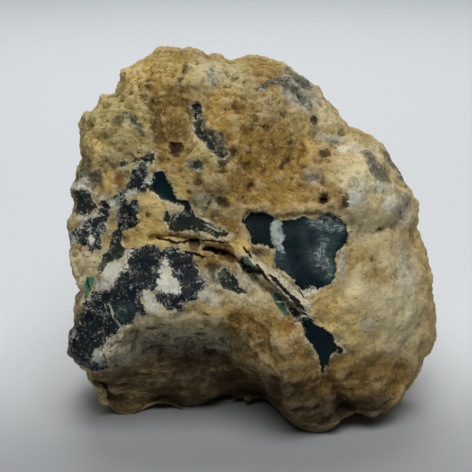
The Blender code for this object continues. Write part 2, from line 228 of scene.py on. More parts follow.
# wrap is how far (mm) a patch carries on round the rim of the rock, onto the other side.
Patch = namedtuple("Patch", "mineral name wrap outline")
FACE_PATCHES = (
    Patch("blue", "window", 0, (
        (272, 215), (276, 219), (284, 219), (290, 219), (295, 218), (300, 216), (306, 216), (312, 218),
        (318, 217), (322, 214), (328, 213), (334, 214), (340, 218), (345, 225), (349, 232), (346, 241),
        (341, 248), (337, 254), (335, 262), (336, 272), (336, 279), (331, 283), (325, 286), (318, 289),
        (312, 290), (306, 288), (301, 290), (296, 284), (290, 277), (284, 271), (278, 268), (275, 262),
        (276, 256), (275, 249), (270, 245), (266, 232), (268, 218))),
    Patch("blue", "window left lobe", 0, (
        (243, 221), (245, 217), (250, 213), (256, 211), (264, 211), (270, 214), (274, 219), (273, 232),
        (275, 249), (268, 246), (262, 244), (256, 244), (251, 242), (250, 236), (247, 229))),
    Patch("blue", "stripe", 0, (
        (302, 315), (307, 316), (312, 315), (313, 320), (318, 325), (324, 329), (330, 333), (334, 338),
        (333, 341), (338, 346), (344, 353), (336, 352), (331, 355), (330, 360), (329, 367), (325, 363),
        (323, 373), (321, 362), (318, 357), (316, 351), (311, 343), (307, 339), (304, 336), (308, 331),
        (303, 325), (300, 319))),
    Patch("indigo", "stripe head", 0, (
        (290, 310), (295, 309), (299, 314), (301, 320), (297, 321), (293, 316))),
    Patch("blue", "middle seam", 0, (
        (150, 166), (154, 171), (163, 171), (165, 176), (168, 181), (171, 187), (172, 193), (176, 197),
        (181, 200), (188, 203), (193, 207), (199, 213), (190, 212), (184, 206), (177, 204), (170, 202),
        (164, 199), (157, 195), (152, 192), (149, 188), (150, 182), (152, 176))),
    Patch("olive", "seam leaf", 0, (
        (184, 207), (192, 209), (198, 214), (203, 219), (210, 222), (214, 226), (222, 230), (230, 236),
        (222, 238), (212, 235), (204, 232), (196, 232), (186, 231), (176, 232), (168, 231), (166, 224),
        (163, 217), (165, 209), (170, 213), (177, 214), (183, 211))),
    Patch("indigo", "upper blot", 0, (
        (126, 187), (128, 180), (131, 176), (131, 171), (134, 165), (139, 162), (144, 163), (147, 168),
        (150, 174), (149, 180), (152, 185), (149, 189), (141, 188), (136, 191), (130, 189))),
    Patch("olive", "upper arc", 0, (
        (118, 166), (121, 161), (127, 162), (134, 158), (142, 156), (149, 151), (157, 151), (153, 157),
        (150, 165), (146, 164), (141, 160), (135, 162), (127, 165))),
    Patch("indigo", "diagonal arm", 0, (
        (79, 229), (84, 220), (92, 217), (98, 211), (102, 203), (106, 200), (114, 200), (118, 195),
        (123, 189), (121, 197), (116, 203), (109, 209), (105, 215), (104, 222), (100, 230), (96, 234))),
    Patch("indigo", "left middle blot", 0, (
        (121, 199), (124, 197), (128, 203), (134, 200), (138, 204), (136, 210), (133, 214), (137, 221),
        (132, 226), (126, 229), (119, 230), (116, 222), (115, 214), (118, 206))),
    Patch("olive", "left block", 6, (
        (60, 189), (84, 189), (90, 193), (91, 203), (95, 207), (91, 212), (82, 215), (74, 213), (60, 212))),
    Patch("indigo", "left blot", 5, (
        (60, 234), (74, 232), (78, 228), (82, 226), (90, 224), (98, 226), (104, 222), (103, 232),
        (100, 238), (98, 248), (92, 249), (86, 246), (80, 247), (75, 240), (60, 240))),
    Patch("olive", "left strip", 0, (
        (110, 234), (115, 231), (119, 227), (121, 236), (120, 243), (124, 249), (123, 256), (116, 261),
        (108, 260), (104, 265), (101, 274), (97, 273), (98, 265), (101, 257), (105, 252), (109, 246))),
    Patch("indigo", "apron", 0, (
        (124, 257), (125, 252), (131, 250), (138, 249), (142, 245), (148, 248), (154, 246), (160, 250),
        (170, 250), (180, 251), (188, 253), (192, 260), (195, 266), (197, 274), (201, 279), (206, 284),
        (208, 290), (202, 292), (197, 297), (192, 301), (187, 301), (184, 308), (176, 311), (168, 309),
        (161, 304), (154, 297), (150, 291), (143, 291), (141, 297), (144, 306), (144, 313), (136, 315),
        (132, 319), (128, 323), (120, 330), (110, 334), (96, 330), (88, 312), (90, 296), (94, 290),
        (101, 289), (108, 288), (112, 282), (117, 276), (121, 267))),
    Patch("indigo", "left tip", 14, (
        (92, 290), (110, 290), (118, 310), (124, 328), (112, 335), (103, 341), (101, 350), (104, 359),
        (109, 367), (100, 370), (86, 369), (75, 364), (50, 362), (50, 338), (70, 338), (80, 318),
        (84, 302))),
    Patch("blue", "teal lens", 0, (
        (111, 303), (118, 301), (126, 300), (134, 302), (137, 310), (132, 318), (127, 323), (120, 320),
        (114, 314))),
    Patch("olive", "lower shade", 0, (
        (217, 272), (224, 268), (228, 272), (232, 277), (238, 282), (240, 288), (248, 291), (246, 294),
        (236, 293), (229, 291), (222, 287), (218, 280))),
    Patch("green", "left sliver", 4, (
        (85, 275), (93, 274), (95, 282), (92, 289), (88, 297), (83, 302), (80, 298), (82, 290), (82, 282))),
    Patch("olive", "crystal", 0, (
        (239, 262), (243, 256), (249, 255), (255, 259), (259, 265), (263, 272), (257, 274), (251, 271),
        (247, 274), (242, 267))),
    Patch("olive", "arm branch", 0, (
        (100, 207), (104, 201), (111, 198), (118, 194), (124, 189), (128, 192), (121, 198), (114, 202),
        (107, 207))),
    Patch("green", "lower crystal", 0, (
        (270, 294), (275, 288), (279, 293), (282, 298), (289, 304), (288, 312), (284, 315), (279, 309),
        (274, 303))),
    # A painted reflection of the light on the window's glossy chalcedony, drawn like a patch.
    Patch("bar", "window bar", 0, (
        (270, 222), (275, 218), (281, 221), (283, 230), (284, 240), (281, 244), (284, 249), (286, 255),
        (281, 253), (276, 246), (271, 243), (270, 236))),
    Patch("white", "crescent", 0, (
        (145, 162), (150, 168), (152, 175), (149, 181), (142, 184), (145, 178), (148, 174), (147, 168))),
    Patch("white", "seam spot", 0, (
        (166, 207), (172, 205), (180, 206), (184, 210), (180, 214), (174, 213), (169, 211))),
    Patch("white", "arm flecks", 0, ((123, 196), (128, 189), (134, 190), (132, 195), (127, 197))),
    Patch("white", "arm chip", 0, ((106, 201), (112, 200), (117, 203), (113, 207), (108, 206))),
    Patch("white", "blot curl", 0, (
        (71, 217), (80, 218), (89, 215), (97, 211), (99, 213), (92, 217), (83, 220), (77, 221))),
    Patch("white", "blot fork", 0, ((87, 236), (92, 234), (94, 239), (91, 243), (86, 243))),
    Patch("white", "apron fringe", 0, (
        (121, 263), (124, 255), (129, 251), (134, 252), (128, 258), (127, 265), (122, 271))),
    Patch("white", "apron island", 0, (
        (158, 270), (161, 263), (160, 257), (165, 257), (167, 264), (170, 271), (172, 279), (178, 286),
        (180, 291), (176, 296), (170, 293), (164, 293), (156, 290), (153, 286), (158, 282), (160, 276))),
    Patch("white", "apron notch", 0, (
        (141, 292), (147, 290), (152, 293), (155, 300), (160, 306), (152, 312), (145, 311), (142, 301))),
    Patch("white", "left island", 0, (
        (102, 272), (107, 266), (114, 262), (121, 260), (122, 267), (117, 276), (112, 282), (108, 288),
        (102, 289), (96, 289), (95, 281), (101, 278))),
    Patch("white", "bright spot", 0, (
        (195, 294), (203, 289), (211, 290), (219, 297), (218, 304), (209, 304), (202, 300))),
    Patch("white", "tip spot", 0, ((92, 355), (95, 349), (100, 351), (104, 360), (98, 364), (92, 360))),
    Patch("white", "left edge pale", 4, (
        (60, 183), (76, 182), (82, 177), (90, 182), (94, 185), (87, 189), (60, 188))),
    Patch("white", "block chip", 0, ((350, 194), (357, 191), (360, 198), (358, 206), (352, 204))),
    Patch("white", "block edge chip", 0, ((385, 196), (392, 196), (395, 207), (389, 212), (385, 205))),
    Patch("white", "block mid chip", 0, (
        (374, 182), (382, 184), (390, 186), (388, 191), (379, 190), (373, 187))),
    Patch("white", "block top chip", 0, (
        (338, 147), (350, 144), (364, 147), (362, 152), (350, 149), (340, 151))),
    Patch("white", "window foot chip", 0, ((304, 291), (312, 289), (320, 290), (314, 294), (306, 295))),
    Patch("slate", "left edge block", 4, (
        (60, 170), (78, 166), (84, 163), (88, 169), (100, 171), (101, 179), (96, 183), (89, 182), (84, 177),
        (76, 181), (60, 184))),
    Patch("slate", "right slate", 0, (
        (364, 148), (371, 150), (376, 158), (382, 166), (387, 174), (391, 184), (383, 183), (375, 177),
        (369, 168), (365, 158))),
    Patch("slate", "block rim dot", 3, (
        (383, 148), (388, 150), (394, 158), (397, 166), (391, 164), (386, 156))),
    Patch("slate", "block rim speck", 3, ((398, 170), (404, 173), (406, 181), (400, 179))),
    Patch("slate", "upper smudge", 0, (
        (112, 123), (112, 114), (119, 111), (127, 111), (133, 114), (139, 122), (143, 130), (147, 137),
        (139, 138), (134, 128), (129, 118), (122, 119), (117, 119), (115, 124))),
    Patch("olive", "strip head", 0, (
        (190, 104), (199, 103), (201, 110), (197, 113), (199, 117), (202, 121), (200, 127), (204, 134),
        (210, 138), (206, 142), (198, 137), (192, 128), (194, 119), (192, 111))),
    Patch("slate", "strip", 0, (
        (196, 110), (201, 111), (202, 117), (206, 124), (213, 128), (221, 132), (226, 140), (229, 147),
        (227, 154), (217, 153), (210, 145), (204, 136), (200, 128), (201, 121))),
    Patch("olive", "strip foot", 0, (
        (206, 139), (213, 144), (218, 150), (227, 153), (222, 158), (214, 153), (207, 146))),
    Patch("slate", "middle smudge", 0, (
        (188, 160), (198, 157), (204, 163), (203, 170), (194, 170), (188, 166))),
    Patch("olive", "middle smudge heart", 0, ((192, 163), (197, 160), (201, 164), (200, 168), (195, 168))),
    Patch("slate", "crown streak", 3, (
        (256, 88), (266, 81), (274, 77), (284, 76), (291, 81), (297, 86), (297, 92), (289, 90), (281, 83),
        (270, 85), (262, 90))),
    Patch("slate", "crown edge", 3, (
        (286, 68), (298, 72), (308, 78), (315, 88), (306, 89), (298, 83), (289, 77))),
    Patch("slate", "crown dot", 1, ((296, 94), (304, 95), (313, 103), (312, 109), (304, 105), (297, 101))),
    Patch("slate", "tip margin", 4, (
        (60, 318), (72, 318), (80, 310), (84, 304), (84, 312), (79, 324), (74, 337), (60, 336))),
    Patch("gap", "dark hole", 0, (
        (200, 248), (205, 246), (212, 246), (218, 249), (227, 251), (227, 255), (218, 254), (208, 251))),
)  # fmt: skip

# Fine lines of the face, on the same grid: (tone, start, end, width in squares). Later ones lie on top.
FACE_LINES = (
    ("pale", (247, 253), (273, 279), 7.5),
    ("pale", (268, 267), (314, 311), 7.0),
    ("grey", (270, 281), (314, 320), 8.0),
    ("pale", (194, 213), (211, 223), 2.6),
    ("grey", (204, 224), (224, 233), 1.8),
    ("grey", (119, 189), (116, 216), 4.0),
    ("grey", (109, 302), (114, 319), 2.0),
    ("grey", (112, 316), (127, 334), 2.6),
    ("dark", (243, 245), (252, 259), 3.0),
    ("dark", (255, 263), (270, 283), 3.0),
    ("dark", (267, 272), (308, 313), 4.2),
    ("dark", (298, 287), (305, 299), 1.6),
    ("dark", (156, 237), (178, 243), 2.8),
    ("dark", (174, 243), (202, 239), 2.4),
    ("dark", (196, 239), (230, 243), 2.2),
    ("dark", (184, 251), (208, 258), 3.0),
    ("green", (244, 258), (258, 270), 3.6),
    ("green", (276, 303), (290, 316), 4.0),
    ("pale", (275, 302), (293, 302), 1.6),
    ("pale", (284, 300), (288, 312), 1.5),
)
LINE_TAPER = 1.6  # how suddenly the ends of a line come to a point
LINE_WAVE = 1.7  # size of the waves in the lines, in millimetres

# Patches of the back, outlined in millimetres as (u, v).
BACK_PATCHES = (
    Patch("blue", "back pane", 0, (
        (4, 9), (8, 12), (13, 12.5), (17, 10), (16.5, 6), (19, 2), (15, 0), (11, 1.5), (8, -1), (4, 1),
        (2, 5))),
    Patch("indigo", "back apron", 0, (
        (-24, -4), (-19, -1), (-14, -3), (-8, -2), (-5, -6), (-8, -10), (-13, -9), (-16, -13), (-22, -12),
        (-26, -8))),
    Patch("olive", "back leaf", 0, ((-6, 1), (-1, 3), (3, 2), (5, -1), (1, -3), (-4, -2))),
    Patch("indigo", "back blot", 0, ((16, -12), (21, -9), (25, -11), (23, -15), (18, -16))),
    Patch("white", "back island", 0, ((-18, -5), (-15, -5), (-13, -7), (-17, -8))),
    Patch("white", "back spot", 0, ((-3, -8), (0, -7), (1, -9), (-2, -10))),
    Patch("green", "back crystal", 0, ((2, -6), (4, -5), (5, -7), (3, -8.5))),
    Patch("slate", "back streak", 0, ((-16, 20), (-10, 23), (-4, 22), (-6, 20), (-12, 20))),
)  # fmt: skip

# Seams that cut right through the rock, as slabs that swell and pinch out. Seen on the sides and the back.
Seam = namedtuple("Seam", "mineral name through facing thickness")
SEAMS = (
    Seam("indigo", "low seam", (-20, -8, -6), (0.25, 0.95, 0.2), 2.2),
    Seam("blue", "cross seam", (6, 4, -14), (-0.55, 0.8, 0.25), 1.5),
    Seam("slate", "crown seam", (8, 30, -6), (0.45, 0.85, -0.3), 1.2),
    Seam("white", "chalk seam", (14, 12, -10), (0.8, -0.3, 0.5), 0.7),
)

# Stains, each a soft ellipse on the drawing grid: (x, y, half width, half height, turn in degrees, strength).
# The first eight tint the host rock, and the eighth, the dark specks, also paints shade into the pits. Then
# come painted shade in layers under the ledge, calm rock that is smoother, milky clouds in the chalcedony
# that are partly a painted reflection on the window, and how craggy the rock is.
FACE_STAINS = {
    "khaki": (
        (366, 254, 16, 14, 0, 0.8), (336, 180, 14, 16, 0, 0.8), (290, 148, 14, 22, 0, 0.6),
        (190, 54, 90, 16, 0, 1.2), (300, 66, 50, 12, 35, 0.7), (264, 80, 34, 22, 0, 0.9),
        (214, 168, 22, 16, 0, 0.9), (120, 124, 56, 60, 0, 1.0), (198, 184, 32, 44, 0, 0.7),
        (222, 78, 44, 30, 0, 0.6), (324, 118, 30, 22, -35, 0.5), (264, 255, 13, 9, 20, 1.2),
        (212, 270, 24, 22, 0, 1.0), (202, 194, 26, 24, 0, 0.9), (168, 246, 12, 6, 0, 0.9),
        (282, 308, 9, 9, 0, 0.9), (352, 166, 14, 10, 0, 0.4), (376, 190, 10, 12, 0, 0.5),
        (120, 392, 40, 30, 0, 0.5), (364, 136, 28, 9, -30, 0.9)),
    # The first of these is pale rock along the top of the ledge, also made lighter as painted light where the
    # ledge turns down from the lamps.
    "pale": (
        (180, 325, 54, 9, 0, 1.3), (345, 210, 18, 12, 0, 0.9), (252, 278, 16, 14, 0, 0.8),
        (229, 77, 40, 28, 0, 0.5), (202, 60, 18, 16, 0, 0.6), (266, 102, 22, 24, 0, 0.6),
        (364, 182, 40, 42, 0, 0.75), (324, 112, 26, 22, -40, 0.5), (368, 142, 36, 12, -25, 0.3),
        (87, 258, 24, 22, 0, 1.0), (80, 285, 14, 40, 0, 0.6), (130, 193, 24, 9, 20, 0.8),
        (102, 197, 14, 8, 0, 0.8), (256, 281, 26, 16, 0, 1.1), (303, 296, 10, 10, 0, 0.9),
        (350, 341, 20, 13, 0, 1.1), (160, 315, 40, 9, 0, 0.8), (240, 300, 34, 8, 0, 0.6),
        (374, 314, 40, 46, 0, 1.2), (396, 300, 24, 60, 0, 0.9), (362, 226, 22, 18, 0, 1.2),
        (378, 204, 24, 18, 0, 0.8), (392, 212, 8, 14, 0, 0.6), (210, 236, 26, 4, 0, 0.5)),
    "gold": (
        (94, 142, 16, 28, 0, 0.6), (378, 200, 14, 18, 0, 0.35), (148, 224, 14, 16, 0, 1.0),
        (146, 222, 28, 30, 0, 1.5), (242, 244, 16, 12, 0, 1.0), (150, 76, 42, 28, 0, 0.7),
        (282, 352, 34, 36, 0, 0.35), (344, 306, 34, 22, 0, 0.5), (356, 338, 46, 26, 0, 0.5),
        (108, 180, 12, 12, 0, 1.0), (270, 195, 60, 12, 0, 0.5), (180, 186, 12, 22, 0, 0.6),
        (306, 148, 9, 16, 0, 0.8), (220, 310, 40, 12, 0, 0.4)),
    "ochre": (
        (216, 108, 16, 16, 0, 0.7), (272, 176, 60, 44, 8, 1.1), (228, 116, 28, 32, 0, 1.0),
        (155, 70, 40, 24, 0, 0.4), (224, 256, 34, 12, -15, 0.6), (300, 330, 30, 20, 0, 0.5),
        (276, 90, 18, 16, 0, 0.4)),
    "brown": (
        (242, 108, 18, 12, 0, 0.5), (200, 54, 84, 13, 0, 0.62), (252, 84, 26, 26, 0, 0.2),
        (168, 158, 18, 16, 0, 0.8), (228, 227, 26, 12, 0, 0.9), (288, 338, 22, 26, 0, 0.9),
        (380, 276, 24, 18, 0, 0.6), (244, 168, 20, 30, 0, 0.4), (171, 118, 24, 42, 0, 1.0),
        (152, 92, 16, 10, -30, 0.7), (278, 148, 16, 22, 0, 0.8), (334, 198, 22, 14, -20, 1.0),
        (286, 80, 38, 16, -30, 0.6), (262, 72, 16, 10, 0, 0.5), (404, 212, 14, 26, 15, 0.3),
        # Brown under the pale block and low down, under the ledge and over the lower lobes and foot, is
        # partly painted shade on the undersides.
        (370, 250, 16, 8, 20, 0.4), (350, 270, 22, 5, 48, 0.5), (222, 262, 34, 10, -12, 0.9),
        (244, 322, 44, 14, 0, 0.9), (244, 346, 34, 20, 0, 0.4), (313, 382, 63, 32, 0, 0.7),
        (376, 380, 58, 34, 0, 0.9), (86, 247, 16, 5, 0, 1.0), (210, 152, 10, 16, 0, 0.4),
        (232, 152, 8, 10, 0, 0.9), (150, 78, 26, 18, 0, 0.35), (275, 184, 48, 24, 0, 0.65),
        (268, 132, 36, 26, 0, 0.6), (275, 92, 34, 20, 0, 0.3), (200, 182, 28, 26, 0, 0.5),
        (362, 134, 24, 10, -30, 0.6)),
    "ash": (
        (408, 272, 14, 34, 5, 0.6), (358, 190, 11, 16, 0, 1.0), (332, 138, 22, 6, -12, 0.9),
        (178, 343, 54, 14, 0, 1.2), (206, 350, 30, 10, 20, 0.6), (214, 276, 14, 12, 0, 0.7),
        (212, 76, 9, 14, 0, 0.8), (298, 96, 24, 12, -35, 0.9), (404, 208, 12, 22, 0, 0.8),
        (116, 352, 22, 18, 0, 1.1), (368, 324, 10, 14, 0, 0.7), (314, 176, 12, 14, 0, 0.7),
        (254, 276, 10, 8, 0, 0.6), (205, 200, 22, 14, 0, 0.5), (140, 170, 14, 10, 0, 0.5),
        (342, 260, 6, 30, 5, 0.9), (230, 282, 22, 14, 0, 0.5), (310, 66, 50, 10, -35, 0.25),
        (300, 84, 26, 12, -35, 0.6)),
    "rust": (
        (118, 178, 6, 12, 0, 0.8), (262, 335, 8, 9, 0, 0.6), (291, 325, 10, 8, 0, 0.6),
        (302, 146, 9, 15, 0, 0.5), (154, 68, 8, 12, 0, 0.4), (292, 345, 16, 7, 0, 0.4),
        (126, 402, 8, 10, 0, 0.4)),
    # Dark specks and cracks, and painted shade in the pits of the face and under the pale block.
    "soot": (
        (196, 182, 6, 5, 0, 1.0), (175, 150, 7, 10, 0, 1.1), (258, 228, 14, 16, 0, 1.0),
        (222, 161, 7, 7, 0, 1.2), (208, 204, 14, 4, 60, 0.7), (224, 203, 8, 7, 0, 0.9),
        (325, 153, 8, 6, 0, 1.2), (314, 120, 7, 7, 0, 1.0), (121, 148, 8, 6, 0, 0.6),
        (103, 134, 6, 5, 0, 0.6), (178, 79, 5, 5, 0, 0.7), (184, 68, 4, 13, -15, 0.8),
        (250, 184, 6, 4, 0, 0.8), (248, 152, 6, 3, 0, 0.9), (286, 160, 6, 4, 0, 0.8),
        (281, 166, 5, 3, 0, 0.9), (291, 178, 4, 3, 0, 0.9), (147, 214, 4, 4, 0, 1.0),
        (138, 209, 5, 3, 0, 0.9), (272, 144, 6, 5, 0, 0.6), (232, 152, 6, 9, -20, 0.9),
        (222, 171, 12, 3, 0, 0.8), (255, 252, 12, 7, 0, 0.8), (256, 278, 5, 3, 0, 0.9),
        (148, 100, 8, 5, -30, 0.5), (322, 182, 4, 8, 0, 0.7), (324, 198, 6, 10, -30, 1.0),
        (290, 144, 7, 18, 0, 0.7), (345, 202, 7, 13, -20, 0.9), (274, 243, 5, 12, 10, 0.5),
        (240, 320, 8, 4, 0, 0.6), (212, 266, 14, 7, 0, 0.7), (216, 277, 10, 12, 0, 0.8),
        (232, 274, 10, 5, 0, 0.5), (380, 229, 9, 4, 15, 0.9), (352, 250, 10, 3, 60, 0.6),
        (390, 200, 5, 2, 0, 0.8), (372, 258, 6, 8, 0, 0.6), (152, 328, 14, 3, 0, 0.8),
        (200, 334, 12, 3, 0, 0.8), (122, 238, 8, 4, 0, 0.8), (96, 196, 5, 3, 0, 0.7),
        (276, 378, 13, 5, -30, 0.8), (236, 100, 8, 5, 0, 0.5), (262, 125, 22, 3, 0, 0.6)),
    # Painted shade: darker rock under the ledge, on the undersides and on the feet.
    "shade": (
        (190, 354, 58, 18, 0, 0.5), (198, 390, 96, 32, 0, 1.05), (366, 412, 50, 18, 0, 1.2),
        (318, 414, 50, 28, 0, 0.9), (280, 404, 40, 22, -20, 0.5), (108, 376, 30, 12, 0, 0.4),
        (354, 376, 44, 10, -10, 0.35)),
    "calm": (
        (360, 228, 20, 18, 0, 1.6), (252, 276, 16, 14, 0, 1.4), (387, 292, 74, 105, 0, 1.2),
        (298, 350, 48, 36, 0, 0.8), (146, 222, 30, 30, 0, 1.6), (366, 178, 42, 42, 0, 0.5)),
    # On the window these milky clouds are partly a painted reflection of the light.
    "cloud": (
        (328, 224, 17, 9, -15, 1.0), (322, 218, 14, 6, 0, 0.8), (340, 224, 8, 9, 0, 0.9),
        (322, 246, 6, 20, 0, 0.9), (312, 254, 8, 8, 0, 0.8), (330, 272, 6, 12, 0, 0.9),
        (332, 242, 8, 9, 40, 0.6), (304, 234, 5, 12, 10, 0.3), (322, 262, 12, 8, 40, 0.8),
        (280, 258, 8, 10, 30, 0.7), (122, 310, 16, 12, 0, 0.8), (315, 222, 7, 6, 40, 0.8)),
    "crag": (
        (124, 124, 68, 68, 0, 1.0), (208, 82, 84, 37, 0, 0.7), (324, 114, 53, 42, 0, 0.5),
        (208, 340, 95, 37, 0, 0.8), (250, 166, 74, 53, 0, 0.4), (350, 190, 30, 30, 0, 0.4)),
}  # fmt: skip
BACK_STAINS = {
    "khaki": ((176, 135, 74, 53, 0, 0.9),),
    "ochre": ((261, 156, 47, 42, 0, 0.9), (155, 219, 47, 32, 0, 0.7)),
    "gold": ((230, 210, 36, 26, 0, 0.8), (330, 250, 30, 30, 0, 0.6)),
    "pale": ((345, 166, 42, 47, 0, 0.9), (229, 314, 47, 26, 0, 0.7), (140, 280, 30, 26, 0, 0.6)),
    "brown": ((303, 356, 74, 32, 0, 0.8), (200, 100, 40, 20, 0, 0.7), (350, 220, 16, 30, 0, 0.7)),
    "ash": ((120, 200, 20, 30, 0, 0.7), (300, 110, 30, 14, 20, 0.7)),
    "rust": ((290, 290, 12, 8, 0, 0.8), (190, 170, 8, 10, 0, 0.8)),
    "soot": ((210, 190, 9, 7, 0, 0.9), (300, 200, 7, 7, 0, 0.9), (250, 120, 10, 4, 20, 0.8)),
    # Painted shade along the bottom of the back.
    "shade": ((250, 393, 158, 26, 0, 0.9),),
    "cloud": ((313, 198, 16, 16, 20, 0.8),),
}  # fmt: skip

# The minerals, with the window's painted reflection among them, in the order in which they are stored.
MINERALS = ("blue", "indigo", "olive", "green", "white", "slate", "bar", "gap")
ROCK_TINTS = ("khaki", "pale", "gold", "ochre", "brown", "ash", "rust")  # in the order in which they are laid
HARD_MINERALS = ("blue", "olive", "green")
FINE_MINERALS = ("bar", "gap")  # drawn so small that their edges stay as they are
FLAT_PATCHES = ("window", "window left lobe", "stripe", "seam leaf", "middle seam")

# Waves, each as (size, height) in millimetres.
PATCH_WAVE = (1.6, 0.3)  # in the edges of the patches
WRAP_WAVE = (5.0, 0.7)  # in how far they carry on round the rim, as a share of that
SEAM_WAVE = (9.0, 3.0)  # in the seams
SEAM_SWELL = (7.0, 0.15)  # size of a seam's swells, and its usual thickness as a share of the full one

FAR = 4.0  # distances from patches are kept within this
NARROWING = 0.5  # how fast a patch narrows to a point once it has turned the rim
BACK_MARGIN = 2.0  # how far behind the rim the patches of the back begin
SEAM_MARGIN = 3.0  # ... and the seams
STAIN_TURN = 8.0  # depth over which the stains of the face give way to those of the back
LINE_TURN = 6.0  # ... and over which the face's fine lines end

# ---------------------------------------------------------------------------------------------------------
# Fine relief, in millimetres
# ---------------------------------------------------------------------------------------------------------

PANE_MARGIN = 0.3  # a pane's plane is fitted to what lies this far inside its edge
PANE_EDGE = 0.8  # width of the step from the pane to the rock
PANE_KEEP = 0.12  # share of its relief that a pane keeps
HARD_EDGE = 0.7  # width over which the relief of the rock dies away at a hard patch
SOFT_EDGE = 1.2  # ... and at a powdery one
SOFT_KEEP = 0.6  # share of its relief that the rock keeps under powder
CALM_LOSS = 0.65  # share that it lacks where it is calm
PLAIN_CRAG, MOST_CRAG = 0.25, 1.2  # cragginess of plain rock, and the most there is

# Forms of the relief, each as (size, height). The heights of the first two are shares of the grain's height,
# and those of the next two are shares of the crags'.
GRAIN = (2.6, 1.3)
CLODS = (3.4, 0.4)
CRESTS = (5.0, 0.55)
CLEFTS = (3.2, 0.45)
CHIPS = (1.2, 0.14)
LEAST_CHIPS = 0.5  # share of their height that the chips have where there are no crags
LEDGES = (2.2, 0.55)  # level layers in the shade of the overhang
RIBS = (3.2, 0.4)  # upright ribs of the lower right
CRUST = (1.2, 0.12)  # round the hard patches
CRUST_LEVEL, CRUST_LUMPS = 0.2, 1.5  # shares of its height: the crust's middle, and its lumps
RIPPLE = (1.2, 0.03)  # on the patches themselves
WARP = (2.5, 0.8)  # bends the clods, clefts and chips
CLOD_LEVEL, CREST_LEVEL = 0.6, 0.35  # what counts as level among clods, and among crests
RIB_PLACE = (16.0, 2.0)  # the ribs lie to the right of that u and below that v
RIB_FADE = (8.0, 6.0)
LEDGE_STRETCH = (0.25, 0.25, 1.0)  # flattens noise into level layers
RIB_STRETCH = (1.0, 1.0, 0.25)  # draws it out upward
CHIP_STRETCH = (1.0, 1.0, 1.5)
CRUST_PLACE = 0.5  # the crust's crest lies this far outside a hard patch, and is as wide
HARD_SINK = 0.2  # how far a hard patch lies below the rock
GAP_DEPTH = 1.6

PIT_RADII = (0.4, 0.85)
PIT_SLOPE = 1.35  # a strewn pit ends at that many of its radii
PIT_STEEPNESS = (1.1, 0.5)  # a pit's depth for its radius, and how much less for each millimetre of radius
PIT_ODDS = (0.25, 1.5)  # how likely pits are on plain rock, and the most that stains and crags add
PIT_SEED = 11
HOLLOW_EASING = (0.6, 24)  # how strongly, and how often, the rock is eased to tell hollows from crests

# ---------------------------------------------------------------------------------------------------------
# The stage, in metres unless said otherwise
# ---------------------------------------------------------------------------------------------------------

IMAGE_SIZE = 472  # width and height of the rendered frame, in squares of the drawing grid
SENSOR_WIDTH = 36.0  # in millimetres
CLIP_RANGE = (0.01, 20.0)
INNER_RING = 0.4  # radius of the floor's inner ring, as a share of the whole
SWEEP_RADIUS = 0.5  # of the bend between the floor and the backdrop
SWEEP_STEPS = 12
FLOOR_SPOKES = 96
BACKDROP_HEIGHT = 1.6
# Painted shadow darkens the floor in front of the rock, and painted light brightens it far off.
PAINTED_SHADOW_GRADE = (45.0, -65.0)  # y in millimetres where the floor's near tone begins, and where it is full
PAINTED_LIGHT_GRADE = (80.0, 500.0)  # the same for its far tone
WELD = 1e-5

# Each light's name, the setting with its power, its size, its place and what it is aimed at.
LIGHTS = (
    ("main light", "key_power", 0.5, (-0.02, 0.32, 0.52), (0.0, 0.08, 0.0)),
    ("fill light", "fill_power", 0.4, (0.03, -0.33, 0.56), (0.0, 0.0, 0.03)),
)


# ---------------------------------------------------------------------------------------------------------
# Shaping the rock
# ---------------------------------------------------------------------------------------------------------


def smooth(t):
    """0 below 0, 1 above 1, and an S-curve between."""
    t = np.clip(t, 0.0, 1.0)
    return t * t * (3.0 - 2.0 * t)


def beyond(distance, width):
    """0 on one side of nought and 1 on the other, with an S-curve of that width between."""
    return smooth(0.5 + distance / width)


def path_distance(points, u, v):
    """Distance from each (u, v) to the open path through the points."""
    best = np.full(u.shape, np.inf)
    for (u0, v0), (u1, v1) in zip(points, points[1:]):
        du, dv = u1 - u0, v1 - v0
        t = np.clip(((u - u0) * du + (v - v0) * dv) / (du * du + dv * dv), 0.0, 1.0)
        best = np.minimum(best, np.hypot(u - u0 - t * du, v - v0 - t * dv))
    return best


def area_distance(points, u, v):
    """Distance from each (u, v) to the edge of the area that the points bound: negative inside."""
    inside = np.zeros(u.shape, bool)
    closed = (*points, points[0])
    for (u0, v0), (u1, v1) in zip(closed, closed[1:]):
        if v0 != v1:
            crossing = (v0 > v) != (v1 > v)
            inside ^= crossing & (u < u0 + (v - v0) * (u1 - u0) / (v1 - v0))
    return np.where(inside, -1.0, 1.0) * path_distance(closed, u, v)


def swell(u, v, stroke):
    """Height that one swell adds at each (u, v)."""
    turn = math.radians(stroke.turn)
    du, dv = u - stroke.at[0], v - stroke.at[1]
    along = (du * math.cos(turn) + dv * math.sin(turn)) / stroke.size[0]
    across = (dv * math.cos(turn) - du * math.sin(turn)) / stroke.size[1]
    return stroke.rise * np.exp(-SWELL_FALLOFF * (along * along + across * across))


def face_relief(u, v):
    """Height of everything that stands on, or is sunk in, the smooth dome of the face."""
    height = sum(swell(u, v, stroke) for stroke in FACE_SWELLS)
    for step in FACE_STEPS:
        height += step.rise * beyond(-area_distance(step.outline, u, v), step.wall)
    for furrow in FACE_FURROWS:
        height += furrow.rise * smooth(1.0 - path_distance(furrow.path, u, v) / furrow.width)
    for pit in FACE_PITS:
        height -= pit.depth * smooth(FACE_PIT_SLOPE - np.hypot(u - pit.at[0], v - pit.at[1]) / pit.radius)
    return height


def back_relief(u, v):
    """The same for the back, where height is measured away from the face."""
    return sum(swell(u, v, stroke) for stroke in BACK_SWELLS)


